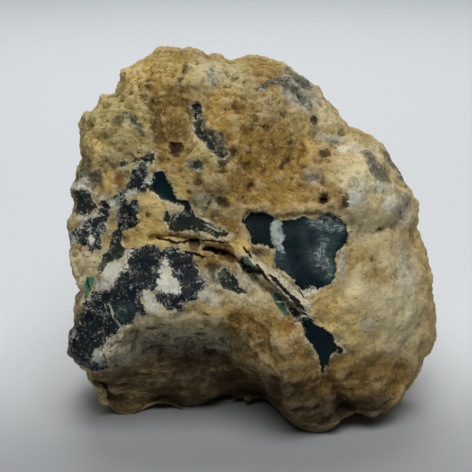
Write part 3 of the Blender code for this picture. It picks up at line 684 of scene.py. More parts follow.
def around(bearing, table):
    """Value at each bearing, in radians, from a table of (degrees, value) that closes on itself."""
    degrees, values = zip(*table)
    return np.interp(np.degrees(bearing), degrees, values, period=360)


def rim_reach(bearing):
    """How far out the widest outline lies at each bearing."""
    table = [(math.degrees(math.atan2(v, u)) % 360, math.hypot(u, v)) for u, v in OUTLINE]
    return around(bearing, sorted(table))


def rim_depth(u, v):
    """How far forward the widest outline's own surface lies, at each (u, v)."""
    bearing = np.arctan2(v, u)
    share = np.hypot(u, v) / rim_reach(bearing)
    return around(bearing, RIM_DEPTH) * share**2


def cut_facets(height, u, v, facets):
    """Height, in the direction of w, once every flat break has been taken off."""
    for facet in facets:
        bearing, tilt = math.radians(facet.bearing), math.radians(facet.tilt)
        slope = math.sin(tilt) * (u * math.cos(bearing) + v * math.sin(bearing))
        gap = height - (facet.reach - slope) / math.cos(tilt)
        height = height - 0.5 * (gap + np.sqrt(gap * gap + FACET_ROUNDING**2))
    return height


def shape_rock(sphere):
    """Takes points on the unit sphere to (u, v, w) on the rock's surface."""
    bearing = np.arctan2(sphere[:, 1], sphere[:, 0])
    radial = np.hypot(sphere[:, 0], sphere[:, 1])
    toward_face = sphere[:, 2]
    front = toward_face > 0

    fullness = np.where(front, around(bearing, FACE_FULLNESS), around(bearing, BACK_FULLNESS))
    share = radial ** (2.0 / fullness)
    reach = rim_reach(bearing)
    u, v = share * reach * np.cos(bearing), share * reach * np.sin(bearing)

    dome = np.abs(toward_face) ** (2.0 / fullness)
    free = smooth(np.abs(toward_face) / RIM_ZONE)
    rim = around(bearing, RIM_DEPTH) * share**2
    face, back = rim + dome * FACE_DEPTH, dome * BACK_DEPTH - rim
    face += free * (cut_facets(face, u, v, FACE_FACETS) - face + face_relief(u, v))
    back += free * (cut_facets(back, u, v, BACK_FACETS) - back + back_relief(u, v))
    w = np.where(front, face, -back)

    taper = 1.0 - w / TAPER_DISTANCE
    return np.column_stack((u * taper, v * taper, w))


def stand_up(uvw):
    """Leans the face back, so that (u, v, w) become x, y and z with z up from the floor."""
    u, v, w = uvw.T
    return np.column_stack((u, v * LEAN - w * RISE, v * RISE + w * LEAN + FLOOR_DROP))


def to_face(points):
    """The other way round from stand_up: takes x, y and z to (u, v, w), with the taper taken out."""
    x, y, z = points.T
    z = z - FLOOR_DROP
    w = z * LEAN - y * RISE
    taper = 1.0 - w / TAPER_DISTANCE
    return x / taper, (y * LEAN + z * RISE) / taper, w


# ---------------------------------------------------------------------------------------------------------
# Noise
# ---------------------------------------------------------------------------------------------------------


# Factors and shifts that leave no pattern in the noise.
CELL_FACTORS = np.array((73856093, 19349663, 83492791), np.uint32)  # for a cell's x, y and z
SEED_FACTOR, SEED_START = 40503, 977
MIXING_ROUNDS = ((16, 2246822519), (13, 3266489917), (16, 1))  # each as (shift, factor)

FRACTAL_STEP, RIDGE_STEP = 2.03, 2.1  # how many times smaller each size is than the one before
CLOD_PLACE = (0.1, 0.8)  # where in its cell a clod's middle may lie: from there, over that much
CLOD_SLOPE = 1.6  # how steeply the clods rise out of their creases


def scramble(cells, seed):
    """A number from 0 to 1 for each whole-numbered cell of space."""
    x, y, z = cells.astype(np.uint32).T * CELL_FACTORS[:, None]
    mixed = x + y + z + np.uint32(seed * SEED_FACTOR + SEED_START)
    for shift, factor in MIXING_ROUNDS:
        mixed = (mixed ^ (mixed >> np.uint32(shift))) * np.uint32(factor)
    return mixed / np.iinfo(np.uint32).max


def lattice(points, seed):
    """Smooth noise from -1 to 1 whose lumps are about one unit across."""
    cell = np.floor(points)
    part = smooth(points - cell)
    cell = cell.astype(np.int64)
    total = np.zeros(len(points))
    for corner in itertools.product((0, 1), repeat=3):
        share = 1.0
        for axis in range(3):
            share = share * (part[:, axis] if corner[axis] else 1.0 - part[:, axis])
        total += share * (2.0 * scramble(cell + corner, seed) - 1.0)
    return total


def fractal(points, size, seed, octaves=3, gain=0.5):
    """Noise of several sizes, the largest given in millimetres."""
    total, height = 0.0, 1.0
    for octave in range(octaves):
        total = total + height * lattice(points * FRACTAL_STEP**octave / size, seed + octave)
        height *= gain
    return total


def ridges(points, size, seed, octaves=3):
    """Noise with sharp crests at 1 and rounded hollows down to about -1."""
    total, height, whole = 0.0, 1.0, 0.0
    for octave in range(octaves):
        waves = lattice(points * RIDGE_STEP**octave / size, seed + octave)
        total = total + height * (1.0 - 2.0 * np.abs(waves))
        whole += height
        height *= 0.5
    return total / whole


def clods(points, size, seed):
    """Rounded lumps about that size packed together: 1 on top of each and 0 in the creases between them."""
    points = points / size
    cell = np.floor(points).astype(np.int64)
    nearest = np.full(len(points), np.inf)
    second = nearest.copy()
    for corner in itertools.product((-1, 0, 1), repeat=3):
        other = cell + corner
        distance = 0.0
        for axis in range(3):
            place = other[:, axis] + CLOD_PLACE[0] + CLOD_PLACE[1] * scramble(other, seed + axis)
            distance = distance + (place - points[:, axis]) ** 2
        distance = np.sqrt(distance)
        second = np.minimum(second, np.maximum(nearest, distance))
        nearest = np.minimum(nearest, distance)
    return smooth(CLOD_SLOPE * (second - nearest))


# ---------------------------------------------------------------------------------------------------------
# Where the minerals and the stains lie
# ---------------------------------------------------------------------------------------------------------


def drawn(outline):
    """An outline on the drawing grid, in millimetres as (u, v)."""
    return [((x - GRID_MIDDLE[0]) * GRID, (GRID_MIDDLE[1] - y) * GRID) for x, y in outline]


def patch_distance(outline, u, v):
    """Distance to the edge of one patch, negative inside, cut off at FAR."""
    us, vs = zip(*outline)
    near = (u > min(us) - FAR) & (u < max(us) + FAR) & (v > min(vs) - FAR) & (v < max(vs) + FAR)
    distance = np.full(u.shape, FAR)
    distance[near] = np.clip(area_distance(outline, u[near], v[near]), -FAR, FAR)
    return distance


def mineral_distances(points):
    """For each mineral, the distance of each point from its patches and seams: negative inside."""
    u, v, w = to_face(points)
    ahead = w - rim_depth(u, v)
    ragged = PATCH_WAVE[1] * fractal(points, PATCH_WAVE[0], seed=40)
    reach = 1.0 + WRAP_WAVE[1] * fractal(points, WRAP_WAVE[0], seed=45)
    narrowing = NARROWING * reach * np.maximum(-ahead, 0.0)
    minerals = {name: np.full(u.shape, FAR) for name in MINERALS}

    def add(name, distance):
        minerals[name] = np.minimum(minerals[name], distance)

    for patch in FACE_PATCHES:
        distance = patch_distance(drawn(patch.outline), u, v) + narrowing
        add(patch.mineral, np.maximum(distance, -ahead - patch.wrap * reach))
    for patch in BACK_PATCHES:
        add(patch.mineral, np.maximum(patch_distance(patch.outline, u, v), ahead + BACK_MARGIN))
    for name in minerals:
        if name not in FINE_MINERALS:
            minerals[name] = minerals[name] + ragged

    where = np.column_stack((u, v, w))
    wave = SEAM_WAVE[1] * fractal(points, SEAM_WAVE[0], seed=50)
    for number, seam in enumerate(SEAMS):
        facing = np.array(seam.facing) / np.linalg.norm(seam.facing)
        swelling = SEAM_SWELL[1] + fractal(points, SEAM_SWELL[0], seed=60 + number)
        distance = np.abs((where - seam.through) @ facing + wave) - seam.thickness * swelling
        add(seam.mineral, np.clip(np.maximum(distance, ahead + SEAM_MARGIN), -FAR, FAR))
    return minerals


def stain_weights(points):
    """For each stain, how strongly it shows at each point."""
    u, v, w = to_face(points)
    front = beyond(w - rim_depth(u, v), STAIN_TURN)
    weights = {}
    for stains, side in ((FACE_STAINS, front), (BACK_STAINS, 1.0 - front)):
        for name, ellipses in stains.items():
            for x, y, wide, high, turn, strength in ellipses:
                (middle,) = drawn(((x, y),))
                stroke = swell(u, v, Swell(name, middle, (wide * GRID, high * GRID), turn, strength))
                weights[name] = weights.get(name, 0.0) + side * stroke
    return weights


# ---------------------------------------------------------------------------------------------------------
# The rock's mesh
# ---------------------------------------------------------------------------------------------------------


def get_points(mesh):
    flat = np.empty(3 * len(mesh.vertices))
    mesh.vertices.foreach_get("co", flat)
    return flat.reshape(-1, 3)


def set_points(mesh, points):
    mesh.vertices.foreach_set("co", np.ascontiguousarray(points).ravel())
    mesh.update()


def get_normals(mesh):
    flat = np.empty(3 * len(mesh.vertices))
    mesh.vertex_normals.foreach_get("vector", flat)
    return flat.reshape(-1, 3)


def relax(mesh, points, weight, passes):
    """Draws each point towards the middle of its neighbours, by its weight."""
    ends = np.empty(2 * len(mesh.edges), np.int32)
    mesh.edges.foreach_get("vertices", ends)
    start, end = ends.reshape(-1, 2).T
    count = np.bincount(start, minlength=len(points)) + np.bincount(end, minlength=len(points))
    share = (weight / count)[:, None]
    for _ in range(passes):
        total = np.empty(points.shape)
        for axis in range(3):
            total[:, axis] = np.bincount(start, points[end, axis], len(points))
            total[:, axis] += np.bincount(end, points[start, axis], len(points))
        points = points + share * total - weight[:, None] * points
    return points


def round_sole(mesh, mesh_size):
    """Rounds the edge that the level cut leaves, as far on any size of mesh."""
    points = get_points(mesh)
    passes = round(EDGE_WEAR_PASSES * (EDGE_WEAR_CELL * MM / mesh_size) ** 2)
    set_points(mesh, relax(mesh, points, EDGE_WEAR_SHARE * (points[:, 2] < EDGE_WEAR), passes))


def arch_sole(mesh):
    """Lifts the sole off the floor between the feet, and treads the feet down."""
    x, y, z = get_points(mesh).T
    foot = np.zeros(x.shape)
    for foot_x, foot_y, radius in FEET:
        foot = np.maximum(foot, np.exp(-((x - foot_x) ** 2 + (y - foot_y) ** 2) / radius**2))
    lift = SOLE_ARCH * (1.0 - foot) - FOOT_TREAD * foot
    z = z + lift * (1.0 - smooth(z / SOLE_BLEND))
    set_points(mesh, np.column_stack((x, y, z)))


def roughen(mesh):
    """Pushes each vertex along its normal by noise of several sizes."""
    points = get_points(mesh)
    push = np.zeros(len(points))
    for size, height in ROUGHNESS:
        push += [height * noise.fractal(place, *ROUGH_NOISE) for place in points / size]
    push *= smooth(points[:, 2] / SOLE_BLEND + SOLE_ROUGHNESS)
    set_points(mesh, points + get_normals(mesh) * push[:, None])


def flatten_pane(points, outline):
    """Draws the surface inside an outline of the face towards one flat plane."""
    u, v, w = to_face(points)
    distance = patch_distance(outline, u, v)
    on_face = w > rim_depth(u, v)
    inside = (distance < -PANE_MARGIN) & on_face
    sloped = np.column_stack((u, v, np.ones(len(u))))
    plane = np.linalg.lstsq(sloped[inside], w[inside], rcond=None)[0]
    share = (1.0 - PANE_KEEP) * beyond(-distance, PANE_EDGE) * on_face
    shift = share * (sloped @ plane - w)
    return points + shift[:, None] * np.array((0.0, -RISE, LEAN))


def scatter_pits(points, likely, count):
    """Depth of small round pits strewn over the points where they are likely."""
    tree = kdtree.KDTree(len(points))
    for index, point in enumerate(points):
        tree.insert(point, index)
    tree.balance()
    random = np.random.default_rng(PIT_SEED)
    depth = np.zeros(len(points))
    for index in random.choice(len(points), count, p=likely / likely.sum()):
        radius = random.uniform(*PIT_RADII)
        steepness = PIT_STEEPNESS[0] - PIT_STEEPNESS[1] * radius
        for _, other, distance in tree.find_range(points[index], PIT_SLOPE * radius):
            bowl = radius * steepness * smooth(PIT_SLOPE - distance / radius)
            depth[other] = max(depth[other], bowl)
    return depth


def lump_relief(points, rough, crag, look):
    """Height of the host rock's grain and crags."""
    grain, coarse = look.grain_height / MM, look.crag_height / MM
    bend = [fractal(points, WARP[0], seed=20 + axis, octaves=2) for axis in range(3)]
    wavy = points + WARP[1] * np.column_stack(bend)
    grains = GRAIN[1] * fractal(points, GRAIN[0], seed=1, octaves=4, gain=0.6)
    push = rough * grain * (grains + CLODS[1] * crag * (clods(wavy, CLODS[0], seed=30) - CLOD_LEVEL))
    push += rough * crag * coarse * CRESTS[1] * (ridges(points, CRESTS[0], seed=3) - CREST_LEVEL)
    push -= rough * crag * coarse * CLEFTS[1] * (ridges(wavy, CLEFTS[0], seed=9) - CREST_LEVEL)
    chips = ridges(wavy * CHIP_STRETCH, CHIPS[0], seed=12, octaves=2)
    return push + rough * (LEAST_CHIPS + crag) * CHIPS[1] * chips


def fine_relief(mesh, look):
    """Adds the relief that is too small for the solid: crags, grain, pits, crusts, ledges and ribs."""
    points = get_points(mesh)
    for patch in FACE_PATCHES:
        if patch.name in FLAT_PATCHES:
            points = flatten_pane(points, drawn(patch.outline))
    set_points(mesh, points)
    minerals = mineral_distances(points)
    stains = stain_weights(points)
    above = smooth(points[:, 2] / SOLE_BLEND)
    hard = np.minimum.reduce([minerals[name] for name in HARD_MINERALS])
    rock = beyond(hard, HARD_EDGE) * (SOFT_KEEP + (1.0 - SOFT_KEEP) * beyond(minerals["indigo"], SOFT_EDGE))
    crag = np.clip(PLAIN_CRAG + stains["crag"], 0.0, MOST_CRAG)
    rough = rock * (1.0 - CALM_LOSS * np.clip(stains["calm"], 0.0, 1.0))

    push = lump_relief(points, rough, crag, look)
    ledges = fractal(points * LEDGE_STRETCH, LEDGES[0], seed=4)
    push += np.clip(stains["shade"], 0.0, 1.0) * LEDGES[1] * ledges
    u, v, _ = to_face(points)
    ribbed = smooth((u - RIB_PLACE[0]) / RIB_FADE[0]) * smooth((RIB_PLACE[1] - v) / RIB_FADE[1])
    push += ribbed * RIBS[1] * fractal(points * RIB_STRETCH, RIBS[0], seed=5)
    crust = np.exp(-(((hard - CRUST_PLACE) / CRUST_PLACE) ** 2))
    push += CRUST[1] * crust * (CRUST_LEVEL + CRUST_LUMPS * fractal(points, CRUST[0], seed=6))
    push -= HARD_SINK * beyond(-hard, HARD_EDGE)
    push += (1.0 - rock) * RIPPLE[1] * fractal(points, RIPPLE[0], seed=7)
    push -= GAP_DEPTH * beyond(-minerals["gap"], HARD_EDGE)
    porous = np.clip(stains["ochre"] + stains["khaki"] + stains["crag"], 0.0, PIT_ODDS[1])
    likely = rock * (PIT_ODDS[0] + porous)
    push -= rock * scatter_pits(points, likely * above, look.pit_count)
    set_points(mesh, points + get_normals(mesh) * (push * above)[:, None])


def hollows(mesh, points):
    """How deep each point lies in a small hollow (+) or how far it stands out on a crest (-)."""
    share, passes = HOLLOW_EASING
    eased = relax(mesh, points, np.full(len(points), share), passes)
    return ((eased - points) * get_normals(mesh)).sum(axis=1)


def write_fields(mesh):
    """Stores what the material needs to know at each point."""
    points = get_points(mesh)
    u, v, w = to_face(points)
    fields = mineral_distances(points)
    fields.update(stain_weights(points))
    fields["hollow"] = hollows(mesh, points)
    fields["front"] = beyond(w - rim_depth(u, v), LINE_TURN)
    for name, values in fields.items():
        layer = mesh.attributes.new(name, "FLOAT", "POINT")
        layer.data.foreach_set("value", values.astype(np.float32))


def apply_modifier(obj, kind, **settings):
    modifier = obj.modifiers.new(kind.title(), kind)
    for name, value in settings.items():
        setattr(modifier, name, value)
    bpy.context.view_layer.objects.active = obj
    bpy.ops.object.modifier_apply(modifier=modifier.name)


def cut_level(mesh, height):
    """Cuts the rock off level at a height and closes the cut."""
    bm = bmesh.new()
    bm.from_mesh(mesh)
    every = bm.verts[:] + bm.edges[:] + bm.faces[:]
    cut = bmesh.ops.bisect_plane(
        bm, geom=every, dist=CUT_SNAP, plane_co=(0, 0, height), plane_no=(0, 0, 1), clear_inner=True
    )
    rims = [e for e in cut["geom_cut"] if isinstance(e, bmesh.types.BMEdge)]
    bmesh.ops.holes_fill(bm, edges=rims, sides=0)
    bmesh.ops.triangulate(bm, faces=bm.faces[:])
    bm.to_mesh(mesh)
    bm.free()


def drop_crumbs(mesh):
    """Keeps what hangs together with the rock's highest point, without faces too small to have an area."""
    bm = bmesh.new()
    bm.from_mesh(mesh)
    front = [max(bm.verts, key=lambda vert: vert.co.z)]
    joined = set(front)
    while front:
        front = {edge.other_vert(vert) for vert in front for edge in vert.link_edges} - joined
        joined |= front
    bmesh.ops.delete(bm, geom=[vert for vert in bm.verts if vert not in joined], context="VERTS")
    bmesh.ops.dissolve_degenerate(bm, edges=bm.edges[:], dist=SMALLEST_EDGE)
    bm.to_mesh(mesh)
    bm.free()


def fit_to_solid(points):
    """Moves the rock over its place and keeps every point within the solid's box."""
    low, high = (np.array(corner) / MM for corner in CAD_BOX)
    low[:2] += BOX_GAP
    high -= BOX_GAP
    points = points - (*MIDDLE, FOOT_WEAR)
    least, most = points.min(axis=0), points.max(axis=0)
    shrink = np.minimum(1.0, (high - low) / (most - least))
    shrink[2] = min(1.0, high[2] / most[2])
    points = points * shrink
    least, most = points.min(axis=0), points.max(axis=0)
    shift = np.maximum(low - least, 0.0) + np.minimum(high - most, 0.0)
    shift[2] = 0.0
    return points + shift


def build_rock(look):
    """The whole rock as one fine mesh, in metres."""
    mesh = bpy.data.meshes.new("bacan_rock")
    bm = bmesh.new()
    bmesh.ops.create_icosphere(bm, subdivisions=SPHERE_LEVEL, radius=1.0)
    bm.to_mesh(mesh)
    bm.free()
    rock = bpy.data.objects.new("bacan_rock", mesh)
    bpy.context.collection.objects.link(rock)

    set_points(mesh, stand_up(shape_rock(get_points(mesh))))
    cut_level(mesh, 0.0)
    apply_modifier(rock, "REMESH", mode="VOXEL", voxel_size=look.mesh_size / MM)
    round_sole(mesh, look.mesh_size)
    arch_sole(mesh)
    roughen(mesh)
    fine_relief(mesh, look)
    apply_modifier(rock, "TRIANGULATE")
    apply_modifier(rock, "DECIMATE", ratio=min(1.0, look.triangles / len(mesh.polygons)))
    cut_level(mesh, FOOT_WEAR)
    drop_crumbs(mesh)
    write_fields(mesh)
    set_points(mesh, fit_to_solid(get_points(mesh)) * MM)
    mesh.polygons.foreach_set("use_smooth", np.ones(len(mesh.polygons), bool))
    return rock


# ---------------------------------------------------------------------------------------------------------
# Shader maths written as expressions
# ---------------------------------------------------------------------------------------------------------


class Value:
    """An output of a node. Arithmetic on values adds Math nodes to the same tree."""

    def __init__(self, nodes, socket):
        self.nodes = nodes
        self.socket = socket

    def math(self, operation, *terms):
        return self.nodes.add("ShaderNodeMath", {"operation": operation}, dict(enumerate(terms)))

    def __add__(self, other):
        return self.math("ADD", self, other)

    def __sub__(self, other):
        return self.math("SUBTRACT", self, other)

    def __rsub__(self, other):
        return self.math("SUBTRACT", other, self)

    def __mul__(self, other):
        return self.math("MULTIPLY", self, other)

    def __truediv__(self, other):
        return self.math("DIVIDE", self, other)

    def __rtruediv__(self, other):
        return self.math("DIVIDE", other, self)

    __radd__ = __add__
    __rmul__ = __mul__

    def __neg__(self):
        return self.math("MULTIPLY", self, -1.0)

    def __abs__(self):
        return self.math("ABSOLUTE", self)

    def times_plus(self, factor, addend):
        return self.math("MULTIPLY_ADD", self, factor, addend)

    def at_least(self, other):
        return self.math("MAXIMUM", self, other)

    def at_most(self, other):
        return self.math("MINIMUM", self, other)

    def rise(self, low, high):
        """0 where the value is low, 1 where it is high, and an S-curve between. low may be the larger."""
        if low > high:
            return 1.0 - self.rise(high, low)
        settings = {"interpolation_type": "SMOOTHSTEP"}
        inputs = {"Value": self, "From Min": low, "From Max": high}
        return self.nodes.add("ShaderNodeMapRange", settings, inputs)


class Nodes:
    """Adds nodes to a material's tree."""

    SEED_STEP = (17.3, -9.1, 5.7)  # how far each seed moves a noise, in millimetres
    FACTOR, FIRST, SECOND, MIXED = 0, 6, 7, 2  # a Mix node's sockets when it mixes colours

    def __init__(self, material):
        material.use_nodes = True
        self.tree = material.node_tree
        self.tree.nodes.clear()
        coordinates = self.add("ShaderNodeTexCoord", output="Object")
        self.place = self.vector("SCALE", {0: coordinates, "Scale": 1.0 / MM})

    def add(self, kind, settings=None, inputs=None, output=0):
        """Adds a node of one type with its settings, then fills or links its inputs."""
        node = self.tree.nodes.new(kind)
        for name, value in (settings or {}).items():
            setattr(node, name, value)
        for key, value in (inputs or {}).items():
            if isinstance(value, Value):
                self.tree.links.new(value.socket, node.inputs[key])
            else:
                node.inputs[key].default_value = value
        return Value(self, node.outputs[output]) if node.outputs else None

    def vector(self, operation, inputs):
        return self.add("ShaderNodeVectorMath", {"operation": operation}, inputs)

    def axes(self):
        """x, y and z of the place, in millimetres."""
        separated = self.add("ShaderNodeSeparateXYZ", None, {0: self.place}).socket.node
        return [Value(self, socket) for socket in separated.outputs]

    def field(self, name):
        """A number that the mesh stores at each point."""
        return self.add("ShaderNodeAttribute", {"attribute_name": name}, output="Fac")

    def moved(self, seed, stretch=(1.0, 1.0, 1.0)):
        """The place in millimetres, stretched and moved away so that no two noises line up."""
        stretched = self.vector("MULTIPLY", {0: self.place, 1: stretch})
        return self.vector("ADD", {0: stretched, 1: [step * seed for step in self.SEED_STEP]})

    def cloud(self, size, seed, detail=3.0, rough=0.55, stretch=(1.0, 1.0, 1.0), twist=0.0):
        """Noise from 0 to 1 with lumps of about that size in millimetres."""
        inputs = {
            "Vector": self.moved(seed, stretch),
            "Scale": 1.0 / size,
            "Detail": detail,
            "Roughness": rough,
            "Distortion": twist,
        }
        return self.add("ShaderNodeTexNoise", None, inputs)

    def specks(self, size, seed):
        """Distance from the middles of scattered cells: 0 in the middle of each."""
        return self.add("ShaderNodeTexVoronoi", None, {"Vector": self.moved(seed), "Scale": 1.0 / size})

    def mix(self, first, second, share):
        """Colour that goes from the first to the second as share goes from 0 to 1."""
        first, second = (tint if isinstance(tint, Value) else rgba(tint) for tint in (first, second))
        inputs = {self.FACTOR: share, self.FIRST: first, self.SECOND: second}
        return self.add("ShaderNodeMix", {"data_type": "RGBA"}, inputs, self.MIXED)


def rgba(colour):
    return (*colour, 1.0)


class Drawing:
    """The face's drawing grid inside a material, for lines finer than the mesh."""

    def __init__(self, nodes):
        x, y, z = nodes.axes()
        x = x + MIDDLE[0]
        y = y + MIDDLE[1]
        z = z + (FOOT_WEAR - FLOOR_DROP)
        taper = 1.0 - (z * LEAN - y * RISE) * (1.0 / TAPER_DISTANCE)
        self.u = x / taper + (nodes.cloud(LINE_WAVE, seed=35) - 0.5)
        self.v = (y * LEAN + z * RISE) / taper + (nodes.cloud(LINE_WAVE, seed=36) - 0.5)

    def line(self, start, end, width):
        """How deep a point lies in a sliver from start to end on the grid: negative outside."""
        (u0, v0), (u1, v1) = drawn((start, end))
        du, dv = u1 - u0, v1 - v0
        length = math.hypot(du, dv)
        u_share, v_share = 2.0 * du / length**2, 2.0 * dv / length**2
        along = self.u.times_plus(u_share, self.v.times_plus(v_share, -1.0 - u_share * u0 - v_share * v0))
        u_share, v_share = -dv / length, du / length
        across = abs(self.u.times_plus(u_share, self.v.times_plus(v_share, -u_share * u0 - v_share * v0)))
        half = 0.5 * width * GRID
        return (along * along).times_plus(-LINE_TAPER * half, LINE_TAPER * half).at_most(half) - across


# ---------------------------------------------------------------------------------------------------------
# The rock's finishes, from the host rock up
# ---------------------------------------------------------------------------------------------------------


class RockFinish:
    """The noises that the rock's finishes share, and one method for each finish."""

    def __init__(self, nodes, look):
        self.nodes, self.look = nodes, look
        field, cloud, specks = nodes.field, nodes.cloud, nodes.specks

        # Grain of several sizes.
        self.broad = cloud(11.0, seed=1)
        self.lumps = cloud(3.2, seed=2, detail=4)
        self.small = cloud(1.1, seed=3, detail=5, rough=0.65)
        self.sand = 9.0 * (cloud(0.6, seed=4, detail=4, rough=0.8) - 0.5)
        self.bumps = 9.0 * (self.small - 0.5)
        self.powder = cloud(0.75, seed=12, detail=6, rough=0.78, twist=0.8)
        self.strata = cloud(1.0, seed=27, detail=5, rough=0.7, stretch=(0.22, 0.22, 1.0))
        self.drift = cloud(3.6, seed=13, detail=5, rough=0.65)
        self.wisps = cloud(0.9, seed=19, detail=7, rough=0.85, stretch=(0.7, 1.0, 1.2), twist=0.5)

        # What makes the edges of the patches ragged.
        self.ragged = 2.6 * (cloud(0.9, seed=10, detail=6, rough=0.75) - 0.5)
        self.frayed = 4.5 * (cloud(1.6, seed=11, detail=7, rough=0.75) - 0.5)

        # Where the rock is rough, where it is painted as lit and where as in shade, where it has dark specks,
        # and where it is milky or carries the window's painted reflection.
        self.rough = 1.0 - 0.45 * field("calm").at_most(1.0)
        self.shaded = field("shade").at_most(1.0)
        self.lit = 1.0 - self.shaded
        self.sooty = field("soot").at_most(1.0)
        self.milk_and_reflection = field("cloud").at_most(1.0)

        # Dark grains, fine cracks and pale hairs.
        dark_grains = (specks(0.9, seed=5) + 0.05 * self.sand).rise(0.4, 0.1)
        self.dark_grains = dark_grains * cloud(2.3, seed=6, detail=4).rise(0.48, 0.6)
        cracks = abs(cloud(4.5, seed=9, detail=5, rough=0.62) - 0.5).rise(0.03, 0.004)
        self.cracks = cracks * (0.2 + field("crag")) * cloud(5.0, seed=25).rise(0.46, 0.6)
        hairs = abs(cloud(1.2, seed=39, detail=3, rough=0.65, twist=1.0) - 0.5).rise(0.045, 0.01)
        self.hairs = hairs * cloud(1.6, seed=40, detail=4, rough=0.6).rise(0.52, 0.62)

        # The patches that shine, what dulls them, and the window's painted reflection.
        self.blue = self.patch("blue", self.ragged * 0.8, 0.05)
        self.olive = self.patch("olive", self.ragged, 0.07)
        self.green = self.patch("green", self.ragged * 0.5, 0.06)
        self.indigo = self.patch("indigo", self.frayed - 0.2, 0.07)
        self.dusting = self.dust()
        self.bar = (field("bar") + self.frayed * 0.5).rise(0.15, -0.25)
        # Milky haze, with the painted reflection of the light on the window.
        self.haze_and_reflection = ((self.wisps - 0.38) * self.milk_and_reflection * 3.4).at_least(self.bar * (0.5 + self.small))

    def patch(self, name, edge, soft):
        """1 inside a mineral's patches and 0 outside, with the edge moved out or in by so much."""
        return (self.nodes.field(name) + edge).rise(soft, -soft)

    def paint(self, colour, *coats):
        """Lays coats over a colour, each as the name of a colour setting and the share that covers."""
        for name, share in coats:
            colour = self.nodes.mix(colour, getattr(self.look, name), share)
        return colour

    def dust(self):
        """How thickly the white powder lies on the indigo blotches."""
        edge = 0.1 * self.nodes.field("indigo").rise(-1.6, 0.1)
        dusting = (self.powder + 0.8 * (self.drift - 0.5) + edge).rise(0.61, 0.74)
        flecks = self.nodes.cloud(0.45, seed=24, detail=4, rough=0.75).rise(0.6, 0.68) * 0.5
        return (dusting * 0.75).at_least(flecks).at_least(self.hairs * 0.5)

    def host_rock(self):
        """The porous rock in its regional tints, broken up by noise, with painted shade in layers under the
        ledge.
        """
        mottle = self.nodes.cloud(2.1, seed=38, detail=4, rough=0.6)
        colour = self.paint(
            self.look.tan,
            ("pale", (self.broad + self.small - 1.0).rise(-0.05, 0.4) * 0.5),
            ("ochre", (self.lumps + self.broad - 1.0).rise(0.02, 0.3) * 0.45),
            ("khaki", mottle.rise(0.53, 0.68) * self.rough * 0.55),
            ("brown", mottle.rise(0.46, 0.34) * self.rough * 0.5),
        )
        uneven = 0.5 + self.lumps
        for name in ROCK_TINTS:
            share = (self.nodes.field(name) * uneven + 0.7 * (self.small - 0.5)).rise(0.08, 0.7)
            colour = self.paint(colour, (name, share * 0.85))
        # Painted shade: dark umber layers under the ledge and on the undersides.
        painted_shade_layers = (self.nodes.field("shade") + 1.6 * (self.strata - 0.5)).rise(0.1, 0.75)
        ashy = self.nodes.field("ash").at_most(1.0)
        return self.paint(
            colour,
            ("umber", painted_shade_layers * 0.9),
            ("umber", self.powder.rise(0.5, 0.38) * ashy * 0.75),
            ("powder", self.powder.rise(0.55, 0.66) * ashy * 0.5),
        )

    def grains(self, colour):
        """Light and dark grains, darker hollows, lighter crests, fine dark cracks, and dark specks with
        painted shade in the pits; the pale marks are painted stronger where the rock is painted as lit.
        """
        field, cloud, sand = self.nodes.field, self.nodes.cloud, self.sand
        hollow = field("hollow")
        # Darker in the small hollows of the relief.
        hollow_darkening = (hollow * 1.7 + 0.14 * self.bumps + 0.12 * sand).rise(0.02, 0.75)
        crest = (-0.14 * sand - hollow * 1.6 - 0.12 * self.bumps).rise(0.05, 0.7)
        # Painted light: crests and sand lighten more where the rock is painted as lit.
        lightening_where_lit = 0.08 + 0.2 * self.lit
        pale_grains = self.nodes.specks(0.65, seed=7).rise(0.34, 0.2)
        pale_grains = pale_grains * cloud(2.9, seed=8, detail=4).rise(0.5, 0.62)
        # Dark specks, with painted shade in the pits.
        soot = (field("soot") * (0.3 + 1.4 * self.small) + 0.1 * sand).rise(0.25, 0.8)
        return self.paint(
            colour,
            ("umber", hollow_darkening * self.rough * 0.68),
            ("cream", crest * lightening_where_lit),
            ("umber", sand.rise(0.1, 2.2) * self.rough * 0.5),
            ("cream", (-sand).rise(0.3, 2.4) * lightening_where_lit),
            ("umber", self.dark_grains * self.rough * 0.7),
            ("cream", pale_grains * self.lit * 0.38),
            ("umber", self.cracks * 0.45),
            ("soot", soot * 0.85),
        )

    def fringe(self, colour):
        """A thin bleached crust round the hard patches, and dark specks spattered about them."""
        field, cloud = self.nodes.field, self.nodes.cloud
        hard = field("blue").at_most(field("indigo")).at_most(field("olive"))
        crust = (hard + self.frayed * 0.5).rise(0.9, 0.1) * cloud(1.9, seed=14, detail=4).rise(0.36, 0.56)
        spatter = cloud(0.8, seed=26, detail=5, rough=0.75).rise(0.54, 0.62)
        spatter = spatter * (hard + self.frayed).rise(2.2, 0.2)
        return self.paint(colour, ("cream", crust * 0.7), ("indigo", spatter * 0.7))

    def slate_stains(self, colour):
        """Grey stains."""
        slate = self.paint(
            self.look.slate,
            ("olive", self.nodes.cloud(1.4, seed=15, detail=4).rise(0.36, 0.56)),
            ("powder", self.powder.rise(0.53, 0.64) * 0.5),
            ("powder", self.hairs * 0.4),
        )
        return self.nodes.mix(colour, slate, self.patch("slate", self.frayed * 0.8, 0.45) * 0.85)

    def olive_seams(self, colour):
        """Green-black seams."""
        olive = self.paint(
            self.look.olive,
            ("teal", self.nodes.cloud(2.2, seed=16).rise(0.4, 0.7) * 0.6),
            ("khaki", self.powder.rise(0.64, 0.74) * 0.6),
            ("slate", self.drift.rise(0.53, 0.64) * 0.6),
            ("powder", self.hairs * 0.4),
        )
        return self.nodes.mix(colour, olive, self.olive)

